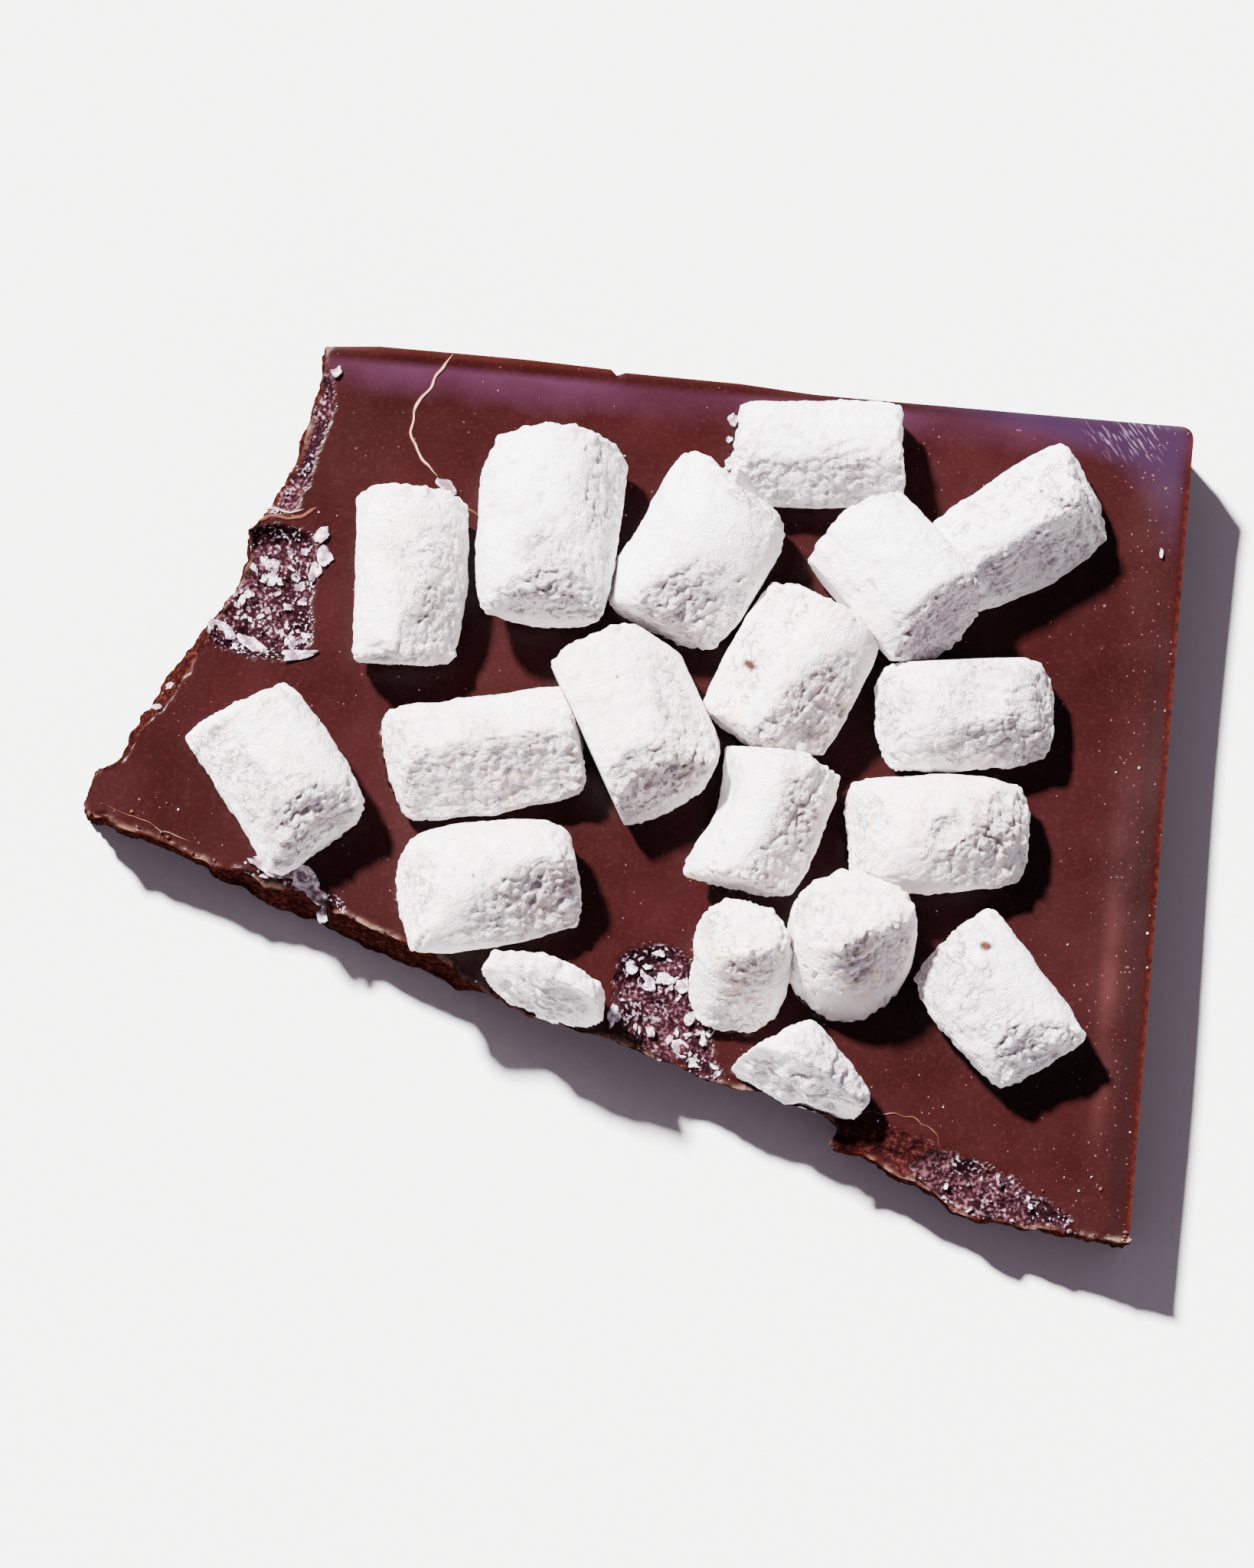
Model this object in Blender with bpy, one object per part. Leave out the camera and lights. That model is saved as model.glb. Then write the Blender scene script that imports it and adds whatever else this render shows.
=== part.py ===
"""A corner shard of a marshmallow chocolate bar.

A poured slab of dark milk chocolate, snapped on two sides and still moulded on
the other two. Seventeen dried mini marshmallows are set in its top, two more
were broken through with the slab, and empty pockets along the breaks show
where others came away.

The plan is drawn in millimetres from the moulded corner of the bar: x runs
along the moulded back edge, y along the moulded right edge, and both are
negative on the shard. z is measured up from the underside. The finished part
is centred on its plan, stands on z = 0 and is in metres.
"""

import math
from collections import namedtuple

import bmesh
import bpy
import numpy as np
from mathutils import Euler, Matrix, Vector
from mathutils.geometry import delaunay_2d_cdt

MM = 0.001

# The slab's top: its level, the creep up the moulded edges and how far it
# reaches, the swells and their lengths, the bands beside the right edge
THICKNESS = 8.5
CREEP = 0.6
CREEP_REACH = 2.5
SWELL = 0.25
SWELL_ALONG = 57.0
SWELL_ACROSS = 48.0
BAND = 0.2
BAND_SPACING = 5.5
BAND_REACH = 9.0
EDGE_ROUND = 0.15
CORNER_RADIUS = 1.4

# The slab's sides: ring heights, then the step back of each ring and of the
# top, moulded and broken, and the random roughness of the breaks
LEVELS = (0.0, 0.7, 3.1, 5.9)
MOULDED_DRAFT = (1.0, 0.6, 0.4, 0.2, 0.35)
LEAN_BACK = (0.0, 0.0, 0.2, 0.6, 1.0)
UNDERCUT = (1.0, 0.92, 0.6, 0.25, 0.0)
BREAK_ROUGH = (0.5, 0.4, 0.3, 0.15, 0.0)
JAGGED = 0.28

# Spacing of the slab's points
BREAK_STEP = 2.2
MOULDED_STEP = 3.6
CORNER_STEPS = 4
TOP_STEP = 3.1
TOP_UNEVEN = 0.35
TOP_CLEAR = 1.4

# Corners of each break: x, y, and how far the top edge stands back there, or
# how far the underside does where the number is negative
LEFT_BREAK = (
    (-70.6, 0.0, 0.3), (-71.1, -4.1, 0.5), (-72.0, -8.8, 0.5), (-74.3, -13.6, 0.5),
    (-75.4, -15.2, 0.4), (-75.2, -17.4, 0.4), (-77.0, -21.2, 0.7), (-79.4, -24.5, 1.7),
    (-81.5, -28.4, 1.8), (-83.6, -32.2, 1.3), (-83.8, -34.0, 0.8), (-85.7, -35.4, 0.5),
    (-86.4, -37.8, 0.3),
)
LOWER_BREAK = (
    (-86.0, -39.4, -0.3), (-82.6, -40.4, -0.4), (-76.8, -42.2, -0.3), (-69.5, -44.9, 1.2),
    (-63.5, -47.0, 0.8), (-56.4, -49.3, 0.6), (-54.0, -50.4, -0.6), (-47.9, -52.6, -1.3),
    (-41.1, -54.1, -1.2), (-35.2, -56.1, -1.2), (-30.2, -56.8, -1.2), (-25.0, -58.3, -1.0),
    (-23.9, -59.0, -0.6), (-25.0, -60.5, -0.5), (-20.0, -61.9, -0.6), (-18.0, -62.8, -0.6),
    (-12.3, -65.4, -0.5), (-6.7, -65.6, -0.5), (-2.7, -66.1, -0.4),
)
BREAK_END = (0.0, -66.2, -0.3)

# The marshmallows: the middle in plan, length and width in millimetres, the way
# the higher end points and how steeply it rises in degrees, the depth sunk in
Place = namedtuple("Place", "x y length width heading tilt depth")
MARSHMALLOWS = (
    Place(-30.3, -5.6, 13.8, 8.9, 4, 0, 1.1),
    Place(-13.7, -10.5, 13.9, 9.8, 35, 0, 1.1),
    Place(-22.9, -15.5, 12.8, 10.4, -46, 15, 1.3),
    Place(-39.3, -14.9, 13.8, 10.7, 65, 0, 1.1),
    Place(-51.3, -14.1, 15.6, 11.0, -92, 11, 1.3),
    Place(-62.1, -18.8, 14.2, 9.5, 92, 0, 1.1),
    Place(-31.1, -23.8, 13.2, 10.7, 67, 0, 1.1),
    Place(-17.0, -25.5, 14.9, 9.5, 8, 0, 1.1),
    Place(-43.3, -28.5, 14.8, 10.4, -61, 9, 1.3),
    Place(-54.7, -32.1, 15.7, 9.9, 14, 0, 1.1),
    Place(-70.9, -35.4, 13.6, 9.9, -52, 0, 1.1),
    Place(-32.3, -35.5, 11.9, 9.9, 78, 0, 1.1),
    Place(-18.3, -35.5, 15.0, 10.1, 5, 0, 1.1),
    Place(-53.6, -42.7, 14.8, 9.9, 13, 0, 1.1),
    Place(-33.3, -47.3, 11.0, 8.1, 90, 56, 2.2),
    Place(-24.7, -44.7, 12.0, 9.7, 93, 61, 2.2),
    Place(-12.7, -48.4, 13.3, 9.5, -48, 0, 1.1),
)

# Broken through with the slab: as above, with the plane of the break
# given by a point of its top edge, the way it faces and how it leans back
Broken = namedtuple("Broken", "place edge_x edge_y faces lean")
HALF_MARSHMALLOWS = (
    Broken(Place(-49.4, -54.7, 13.4, 10.2, 78, 0, 1.2), -48.2, -52.2, -107, 14),
    Broken(Place(-27.8, -57.0, 10.0, 10.3, 132, 0, 1.2), -28.0, -57.0, -105, 16),
)

# Where marshmallows came away from the breaks, and one spalled ledge
IMPRINTS = (
    Place(-74.2, -7.4, 14.2, 10.2, 76, 0, 2.0),
    Place(-73.6, -20.2, 11.0, 10.0, 90, 0, 2.2),
    Place(-69.9, -46.6, 9.4, 9.6, -20, 0, 1.6),
    Place(-38.9, -52.4, 14.0, 9.8, 106, 0, 1.6),
    Place(-20.8, -61.4, 9.6, 8.0, -8, 0, 2.1),
    Place(-11.4, -65.8, 15.4, 10.0, -22, 0, 1.7),
)

# A marshmallow's form: its height to its width, how square its profile is, and
# the most that each unevenness comes to, in shares or in millimetres
AROUND = 20
ALONG = 10
HEIGHT_SHARE = 0.95
SQUARENESS = 4.2
TAPER, WAIST, OVAL, LOBE = 0.06, 0.05, 0.04, 0.025
BEND, LIFT = 0.45, 0.25
BEND_MIDDLE = 0.4
SLANT = (0.2, 0.7)

# Clearances, and how near two marshmallows lie when they may touch
CONTACT_GAP = 0.3
POCKET_GAP = 0.34
NEAR = 4.0
CORE_SHARE = 0.42
CORE_POINTS = 9
CORE_LEAST = 0.5

FIRST_SEED = 500
SLAB_SEED = 41

CHOCOLATE = ("chocolate", (0.075, 0.022, 0.018), 0.42)
MARSHMALLOW = ("marshmallow", (0.86, 0.83, 0.86), 0.9)


def clear_scene():
    for item in list(bpy.data.objects):
        bpy.data.objects.remove(item, do_unlink=True)


def make_material(name, color, roughness):
    material = bpy.data.materials.new(name)
    material.use_nodes = True
    shader = material.node_tree.nodes["Principled BSDF"]
    shader.inputs["Base Color"].default_value = (*color, 1.0)
    shader.inputs["Roughness"].default_value = roughness
    shader.inputs["Metallic"].default_value = 0.0
    return material


def top_height(x, y):
    """Height of the poured top: level, with slow swells, soft bands beside the
    right edge, and a creep up the two moulded edges."""
    turn = 2 * math.pi
    creep = CREEP * (np.exp(x / CREEP_REACH) + np.exp(y / CREEP_REACH))
    swell = SWELL * np.cos(turn * x / SWELL_ALONG) * np.cos(turn * y / SWELL_ACROSS)
    band = BAND * np.cos(turn * x / BAND_SPACING) * np.exp(x / BAND_REACH)
    return THICKNESS + creep + swell + band


def run_between(corners, step, rng, jagged):
    """Points along straight legs, with the points inside a leg moved sideways
    at random. Each point carries a third value, blended along the leg."""
    points = []
    for start, end in zip(corners[:-1], corners[1:]):
        start = np.array(start)
        end = np.array(end)
        leg = end - start
        length = math.hypot(leg[0], leg[1])
        count = max(1, round(length / step))
        side = np.array((-leg[1], leg[0], 0.0)) / length
        for index in range(count):
            point = start + leg * index / count
            if index:
                point = point + side * rng.uniform(-jagged, jagged)
            points.append(point)
    return points


def slab_outline(rng):
    """The outline seen from above, counter-clockwise from the front of the
    right edge, and a mask of the points that lie on the moulded edges."""
    radius = CORNER_RADIUS
    right = run_between((BREAK_END, (0.0, -radius, 0.0)), MOULDED_STEP, rng, 0.0)
    corner = []
    for index in range(CORNER_STEPS + 1):
        turn = math.radians(90 * index / CORNER_STEPS)
        x = -radius + radius * math.cos(turn)
        y = -radius + radius * math.sin(turn)
        corner.append(np.array((x, y, 0.0)))
    back = run_between(((-radius, 0.0, 0.0), LEFT_BREAK[0]), MOULDED_STEP, rng, 0.0)
    breaks = run_between(LEFT_BREAK + LOWER_BREAK + (BREAK_END,), BREAK_STEP, rng, JAGGED)
    points = np.array(right + corner + back[1:] + breaks)
    moulded = np.arange(len(points)) < len(right) + len(corner) + len(back) - 1
    moulded[0] = False
    return points, moulded


def inward(points):
    """Unit vectors pointing into a counter-clockwise outline at its points."""
    ahead = np.roll(points, -1, axis=0) - np.roll(points, 1, axis=0)
    normal = np.column_stack((-ahead[:, 1], ahead[:, 0]))
    return normal / np.linalg.norm(normal, axis=1, keepdims=True)


def inside(points, outline):
    """True for the points that lie within the outline, by crossing count."""
    x = points[:, 0][:, None]
    y = points[:, 1][:, None]
    x1, y1 = outline[:, 0], outline[:, 1]
    x2, y2 = np.roll(x1, -1), np.roll(y1, -1)
    straddles = (y1 > y) != (y2 > y)
    rise = np.where(y2 == y1, 1.0, y2 - y1)
    crossing = x1 + (y - y1) / rise * (x2 - x1)
    return (straddles & (x < crossing)).sum(axis=1) % 2 == 1


def distance_to(points, outline):
    """Distance from each point to the nearest leg of the outline."""
    start = outline
    leg = np.roll(outline, -1, axis=0) - start
    offset = points[:, None, :] - start[None, :, :]
    share = (offset * leg).sum(axis=2) / (leg ** 2).sum(axis=1)
    nearest = offset - np.clip(share, 0, 1)[:, :, None] * leg
    return np.linalg.norm(nearest, axis=2).min(axis=1)


def inner_points(outline, rng):
    """A slightly uneven triangular lattice, clear of the outline."""
    low = outline.min(axis=0)
    high = outline.max(axis=0)
    row_step = TOP_STEP * math.sqrt(3) / 2
    rows = np.arange(low[1], high[1], row_step)
    columns = np.arange(low[0], high[0], TOP_STEP)
    x, y = np.meshgrid(columns, rows)
    x = x + (np.arange(len(rows)) % 2)[:, None] * TOP_STEP / 2
    lattice = np.column_stack((x.ravel(), y.ravel()))
    lattice += rng.uniform(-TOP_UNEVEN, TOP_UNEVEN, lattice.shape)
    lattice = lattice[inside(lattice, outline)]
    return lattice[distance_to(lattice, outline) > TOP_CLEAR]


def fill_outline(outline, extra):
    """Triangles that fill an outline and use the extra points inside it."""
    flat = [Vector(point) for point in np.vstack((outline, extra))]
    border = list(range(len(outline)))
    result = delaunay_2d_cdt(flat, [], [border], 1, 1e-6)
    source = [origins[0] for origins in result[3]]
    return [tuple(source[index] for index in face) for face in result[2]]


def slab_mesh():
    """The slab before its pockets: rings of the outline at rising heights,
    leaning in on the breaks and drafted on the moulded edges, and two fills."""
    rng = np.random.default_rng(SLAB_SEED)
    outline, moulded = slab_outline(rng)
    count = len(outline)
    toward = inward(outline[:, :2])
    rings = []
    for level in range(len(LEVELS) + 1):
        rough = BREAK_ROUGH[level] * rng.uniform(0, 1, count)
        back = LEAN_BACK[level] * np.maximum(outline[:, 2], 0)
        under = UNDERCUT[level] * np.maximum(-outline[:, 2], 0)
        broken = back + under + rough
        offset = np.where(moulded, MOULDED_DRAFT[level], broken)
        rings.append(outline[:, :2] + toward * offset[:, None])
    heights = [np.full(count, level) for level in LEVELS]
    heights.append(top_height(rings[-1][:, 0], rings[-1][:, 1]) - EDGE_ROUND)
    extra = inner_points(rings[-1], rng)
    extra_height = top_height(extra[:, 0], extra[:, 1])
    plan = np.vstack(rings + [extra])
    height = np.concatenate(heights + [extra_height])
    faces = []
    for lower in range(len(LEVELS)):
        start = lower * count
        for index in range(count):
            after = (index + 1) % count
            low = (start + index, start + after)
            high = (start + count + after, start + count + index)
            faces.append((*low, high[0]))
            faces.append((low[0], *high))
    top_start = len(LEVELS) * count
    for face in fill_outline(rings[-1], extra):
        faces.append(tuple(top_start + index for index in face))
    for face in fill_outline(rings[0], np.empty((0, 2))):
        faces.append(tuple(reversed(face)))
    return np.column_stack((plan, height)), faces


def marshmallow_shape(place, seed):
    """Rings of a rounded cylinder about x, in millimetres. Its side is a
    squared-off oval that tapers, bends and bulges by a few tenths."""
    rng = np.random.default_rng(seed)
    taper, waist, oval, lobe = rng.uniform(-1, 1, 4) * (TAPER, WAIST, OVAL, LOBE)
    bend, lift = rng.uniform(-1, 1, 2) * (BEND, LIFT)
    turn_a, turn_b, turn_c = rng.uniform(0, 2 * math.pi, 3)
    slant = rng.uniform(*SLANT)
    sweep = np.linspace(0, math.pi, ALONG + 2)[1:-1]
    power = 2 / SQUARENESS
    axial = -np.sign(np.cos(sweep)) * np.abs(np.cos(sweep)) ** power
    radial = np.sin(sweep) ** power
    t, angle = np.meshgrid(axial, np.arange(AROUND) * 2 * math.pi / AROUND, indexing="ij")
    r = np.broadcast_to(radial[:, None], t.shape)
    swell = 1 + taper * t - waist * (1 - t ** 2)
    swell = swell + oval * np.cos(2 * angle + turn_a) + lobe * np.cos(3 * angle + t + turn_b)
    half_width = place.width / 2
    x = place.length / 2 * t + slant * t * r * np.cos(angle + turn_c)
    bow = t ** 2 - BEND_MIDDLE
    y = half_width * r * swell * np.cos(angle) + bend * bow
    z = half_width * HEIGHT_SHARE * r * swell * np.sin(angle) + lift * bow
    side = np.column_stack((x.ravel(), y.ravel(), z.ravel()))
    end_bow = 1 - BEND_MIDDLE
    poles = [(end * place.length / 2, bend * end_bow, lift * end_bow) for end in (-1, 1)]
    return np.vstack((side, np.array(poles)))


def marshmallow_faces():
    """Faces of the rings from marshmallow_shape and the fans at its two ends."""
    faces = []
    for ring in range(ALONG - 1):
        for index in range(AROUND):
            after = (index + 1) % AROUND
            a = ring * AROUND
            b = a + AROUND
            faces.append((a + index, a + after, b + index))
            faces.append((a + after, b + after, b + index))
    first_pole = ALONG * AROUND
    last = (ALONG - 1) * AROUND
    for index in range(AROUND):
        after = (index + 1) % AROUND
        faces.append((first_pole, after, index))
        faces.append((first_pole + 1, last + index, last + after))
    return faces


def turn_of(place):
    """The turn from a marshmallow's own axes to the plan's."""
    return Euler((0, -math.radians(place.tilt), math.radians(place.heading))).to_matrix()


def settle(place, shape):
    """Where the middle of a marshmallow is, so that its lowest point lies at
    its depth below the poured top."""
    turned = shape @ np.array(turn_of(place)).T
    surface = top_height(place.x, place.y)
    return np.array((place.x, place.y, surface - place.depth - turned[:, 2].min()))


def axis_points(place, middle):
    """Points along the marshmallow's core, short of its ends by its thickness."""
    direction = np.array(turn_of(place)) @ np.array((1.0, 0.0, 0.0))
    reach = max(CORE_LEAST, place.length / 2 - CORE_SHARE * place.width)
    return middle + np.linspace(-reach, reach, CORE_POINTS)[:, None] * direction


def contact_plane(place_a, middle_a, place_b, middle_b):
    """The plane midway between two neighbours: a point, the unit vector from
    the first to the second, and whether they are near enough to touch."""
    core_a = axis_points(place_a, middle_a)
    core_b = axis_points(place_b, middle_b)
    spans = core_b[None, :, :] - core_a[:, None, :]
    lengths = np.linalg.norm(spans, axis=2)
    best = np.unravel_index(lengths.argmin(), lengths.shape)
    span = spans[best]
    length = lengths[best]
    share = place_a.width / (place_a.width + place_b.width)
    near = length < (place_a.width + place_b.width) / 2 + NEAR
    return core_a[best[0]] + span * share, span / length, near


def press_back(points, origin, direction, gap):
    """Points that stand beyond a plane are pressed flat against it."""
    beyond = (points - origin) @ direction + gap / 2
    return points - np.maximum(beyond, 0)[:, None] * direction


def build_object(name, points, faces, material, middle, turn, parent):
    """An object whose mesh is in its own axes, from points of the plan."""
    local = (points - middle) @ np.array(turn)
    mesh = bpy.data.meshes.new(name)
    mesh.from_pydata((local * MM).tolist(), [], faces)
    mesh.materials.append(material)
    item = bpy.data.objects.new(name, mesh)
    bpy.context.scene.collection.objects.link(item)
    item.parent = parent
    item.location = Vector(middle) * MM
    item.rotation_euler = turn.to_euler()
    return item


def break_through(item, broken):
    """Cuts a marshmallow at the plane of its break and closes the cut."""
    heading = math.radians(broken.faces)
    lean = math.radians(broken.lean)
    level = math.cos(lean)
    normal = Vector((level * math.cos(heading), level * math.sin(heading), math.sin(lean)))
    edge = Vector((broken.edge_x, broken.edge_y, THICKNESS))
    turn = turn_of(broken.place).transposed()
    middle = item.location / MM
    solid = bmesh.new()
    solid.from_mesh(item.data)
    parts = solid.verts[:] + solid.edges[:] + solid.faces[:]
    bmesh.ops.bisect_plane(solid, geom=parts, dist=1e-7, clear_outer=True,
                           plane_co=turn @ (edge - middle) * MM, plane_no=turn @ normal)
    rim = [edge for edge in solid.edges if edge.is_boundary]
    bmesh.ops.contextual_create(solid, geom=rim)
    bmesh.ops.recalc_face_normals(solid, faces=solid.faces[:])
    solid.to_mesh(item.data)
    solid.free()


def pocket_cutter(name, item, material, collection):
    """A closed shape that stands off a marshmallow by the pocket's clearance."""
    solid = bmesh.new()
    solid.from_mesh(item.data)
    bmesh.ops.recalc_face_normals(solid, faces=solid.faces[:])
    solid.normal_update()
    for vert in solid.verts:
        vert.co += vert.normal * POCKET_GAP * MM
    mesh = bpy.data.meshes.new(name)
    solid.to_mesh(mesh)
    solid.free()
    mesh.materials.append(material)
    cutter = bpy.data.objects.new(name, mesh)
    collection.objects.link(cutter)
    cutter.parent = item.parent
    cutter.location = item.location
    cutter.rotation_euler = item.rotation_euler
    cutter.hide_render = True
    cutter.display_type = "WIRE"
    return cutter


def shape_all():
    """Points of every marshmallow and imprint in the plan, with neighbours
    pressed flat against each other where they would meet."""
    places = list(MARSHMALLOWS)
    places += [broken.place for broken in HALF_MARSHMALLOWS]
    whole_count = len(places)
    places += list(IMPRINTS)
    middles = []
    shapes = []
    for index, place in enumerate(places):
        shape = marshmallow_shape(place, FIRST_SEED + index)
        middle = settle(place, shape)
        middles.append(middle)
        shapes.append(middle + shape @ np.array(turn_of(place)).T)
    for first in range(whole_count):
        for second in range(first + 1, whole_count):
            origin, direction, near = contact_plane(
                places[first], middles[first], places[second], middles[second])
            if near:
                shapes[first] = press_back(shapes[first], origin, direction, CONTACT_GAP)
                shapes[second] = press_back(shapes[second], origin, -direction, CONTACT_GAP)
    return places, middles, shapes


def build_shard():
    clear_scene()
    chocolate = make_material(*CHOCOLATE)
    sugar = make_material(*MARSHMALLOW)
    cutters = bpy.data.collections.new("pockets")
    bpy.context.scene.collection.children.link(cutters)
    shard = bpy.data.objects.new("shard", None)
    bpy.context.scene.collection.objects.link(shard)

    level = Matrix.Identity(3)
    points, faces = slab_mesh()
    slab = build_object("chocolate_slab", points, faces, chocolate, np.zeros(3), level, shard)

    places, middles, shapes = shape_all()
    shell = marshmallow_faces()
    whole = len(MARSHMALLOWS)
    halves = len(HALF_MARSHMALLOWS)
    for index, place in enumerate(places):
        turn = turn_of(place)
        if index < whole:
            name = f"marshmallow_{index + 1:02d}"
        elif index < whole + halves:
            name = f"half_marshmallow_{index - whole + 1}"
        else:
            name = f"imprint_{index - whole - halves + 1}"
        item = build_object(name, shapes[index], shell, sugar, middles[index], turn, shard)
        pocket_cutter(f"pocket_of_{name}", item, chocolate, cutters)
        if index >= whole + halves:
            bpy.data.objects.remove(item, do_unlink=True)
        elif index >= whole:
            break_through(item, HALF_MARSHMALLOWS[index - whole])

    pockets = slab.modifiers.new("Pockets", "BOOLEAN")
    pockets.operation = "DIFFERENCE"
    pockets.solver = "EXACT"
    pockets.operand_type = "COLLECTION"
    pockets.collection = cutters

    low = points.min(axis=0)
    high = points.max(axis=0)
    shard.location = Vector((-(low[0] + high[0]) / 2, -(low[1] + high[1]) / 2, 0)) * MM


build_shard()
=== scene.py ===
import math
from collections import namedtuple

import bpy
import numpy as np
from mathutils import Euler, Matrix, Vector


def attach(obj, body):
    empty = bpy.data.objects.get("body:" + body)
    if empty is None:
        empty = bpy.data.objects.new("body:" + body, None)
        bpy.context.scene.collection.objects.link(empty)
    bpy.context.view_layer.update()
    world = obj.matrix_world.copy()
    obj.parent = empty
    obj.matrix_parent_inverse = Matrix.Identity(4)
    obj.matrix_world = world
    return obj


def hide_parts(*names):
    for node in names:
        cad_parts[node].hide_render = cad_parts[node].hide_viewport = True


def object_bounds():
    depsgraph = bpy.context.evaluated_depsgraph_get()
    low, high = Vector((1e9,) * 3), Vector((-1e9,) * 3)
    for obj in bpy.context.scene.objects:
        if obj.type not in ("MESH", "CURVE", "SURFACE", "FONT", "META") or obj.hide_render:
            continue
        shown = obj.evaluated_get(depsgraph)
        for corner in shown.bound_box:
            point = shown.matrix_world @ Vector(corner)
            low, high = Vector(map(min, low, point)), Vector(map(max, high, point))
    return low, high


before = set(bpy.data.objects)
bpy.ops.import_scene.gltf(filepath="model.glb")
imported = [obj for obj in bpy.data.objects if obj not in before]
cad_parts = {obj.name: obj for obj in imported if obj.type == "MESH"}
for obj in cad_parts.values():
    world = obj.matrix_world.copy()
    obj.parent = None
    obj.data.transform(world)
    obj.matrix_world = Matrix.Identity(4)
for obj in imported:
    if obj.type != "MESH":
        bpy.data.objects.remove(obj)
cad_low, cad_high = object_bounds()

# The marshmallows: short rods of foamed sugar, dried until the skin went matt
# and crinkled. They were scattered on the bar while it was still liquid, so each
# one is sunk about a millimetre into the chocolate that set round it.

MM = 0.001

# The bar's moulded corner, from which every plan position below is measured in
# millimetres: x along the back edge, y along the right edge, z from the underside
CORNER = np.array((cad_high.x / MM + 0.2, cad_high.y / MM + 0.2, 0.0))

Place = namedtuple("Place", "x y length width heading tilt depth")
MARSHMALLOWS = (
    Place(-30.3, -5.6, 13.8, 8.9, 4, 0, 1.1),
    Place(-13.7, -10.5, 13.9, 9.8, 35, 0, 1.1),
    Place(-22.9, -15.5, 12.8, 10.4, -46, 15, 1.3),
    Place(-39.3, -14.9, 13.8, 10.7, 65, 0, 1.1),
    Place(-51.3, -14.1, 15.6, 11.0, -92, 11, 1.3),
    Place(-62.1, -18.8, 14.2, 9.5, 92, 0, 1.1),
    Place(-31.1, -23.8, 13.2, 10.7, 67, 0, 1.1),
    Place(-17.0, -25.5, 14.9, 9.5, 8, 0, 1.1),
    Place(-43.3, -28.5, 14.8, 10.4, -61, 9, 1.3),
    Place(-54.7, -32.1, 15.7, 9.9, 14, 0, 1.1),
    Place(-70.9, -35.4, 13.6, 9.9, -52, 0, 1.1),
    Place(-32.3, -35.5, 11.9, 9.9, 78, 0, 1.1),
    Place(-18.3, -35.5, 15.0, 10.1, 5, 0, 1.1),
    Place(-53.6, -42.7, 14.8, 9.9, 13, 0, 1.1),
    Place(-33.3, -47.3, 11.0, 8.1, 90, 56, 2.2),
    Place(-24.7, -44.7, 12.0, 9.7, 93, 61, 2.2),
    Place(-12.7, -48.4, 13.3, 9.5, -48, 0, 1.1),
)

# Broken through with the slab: the break's plane passes an edge point at the
# level of the chocolate, faces a heading and leans back by some degrees
Broken = namedtuple("Broken", "place edge_x edge_y faces lean")
HALF_MARSHMALLOWS = (
    Broken(Place(-49.4, -54.7, 13.4, 10.2, 78, 0, 1.2), -48.2, -52.2, -107, 14),
    Broken(Place(-27.8, -57.0, 10.0, 10.3, 132, 0, 1.2), -28.0, -57.0, -105, 16),
)

# Marshmallows that came away from the breaks, and one spalled ledge (the fifth)
IMPRINTS = (
    Place(-74.2, -7.4, 14.2, 10.2, 76, 0, 2.0),
    Place(-73.6, -20.2, 11.0, 10.0, 90, 0, 2.2),
    Place(-69.9, -46.6, 9.4, 9.6, -20, 0, 1.6),
    Place(-38.9, -52.4, 14.0, 9.8, 106, 0, 1.6),
    Place(-20.8, -61.4, 9.6, 8.0, -8, 0, 2.1),
    Place(-11.4, -65.8, 15.4, 10.0, -22, 0, 1.7),
)
LEDGE = 4

# Each rod has its own seed, counted from the first one. Then its finished grid and
# the coarse one that it is set down by, its height over its width, how square its
# profile is, how far its taper, waist, oval, lobes, bends and slanting ends may go,
# the gap left where two touch, and the cores whose distance says whether they do
FIRST_SEED = 500
ALONG, AROUND = 150, 196
SETTLE_ALONG, SETTLE_AROUND = 24, 40
HEIGHT_SHARE, SQUARENESS = 0.95, 4.2
TAPER, WAIST, OVAL, LOBE = 0.06, 0.05, 0.04, 0.025
BEND, LIFT, BEND_MIDDLE = 0.45, 0.25, 0.4
SLANT = (0.2, 0.7)
CONTACT_GAP, NEAR = 0.08, 4.0
CORE_SHARE, CORE_POINTS, CORE_LEAST = 0.42, 9, 0.5

# The poured top: its level, its creep up the moulded edges and how far that
# reaches, slow swells with their lengths, and the bands beside the right edge
THICKNESS = 8.5
CREEP, CREEP_REACH = 0.6, 2.5
SWELL, SWELL_ALONG, SWELL_ACROSS = 0.25, 57.0, 48.0
BAND, BAND_SPACING, BAND_START, BAND_REACH = 0.028, 4.9, 2.7, 9.0


def top_height(x, y):
    """Level of the poured top: a constant, two exponentials that creep up the
    moulded edges, a product of two slow cosines, and a cosine across the right
    edge that fades away from it."""
    turn = 2 * math.pi
    creep = CREEP * (np.exp(x / CREEP_REACH) + np.exp(y / CREEP_REACH))
    swell = SWELL * np.cos(turn * x / SWELL_ALONG) * np.cos(turn * y / SWELL_ACROSS)
    band = BAND * np.cos(turn * (x + BAND_START) / BAND_SPACING) * np.exp(x / BAND_REACH)
    return THICKNESS + creep + swell + band


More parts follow.
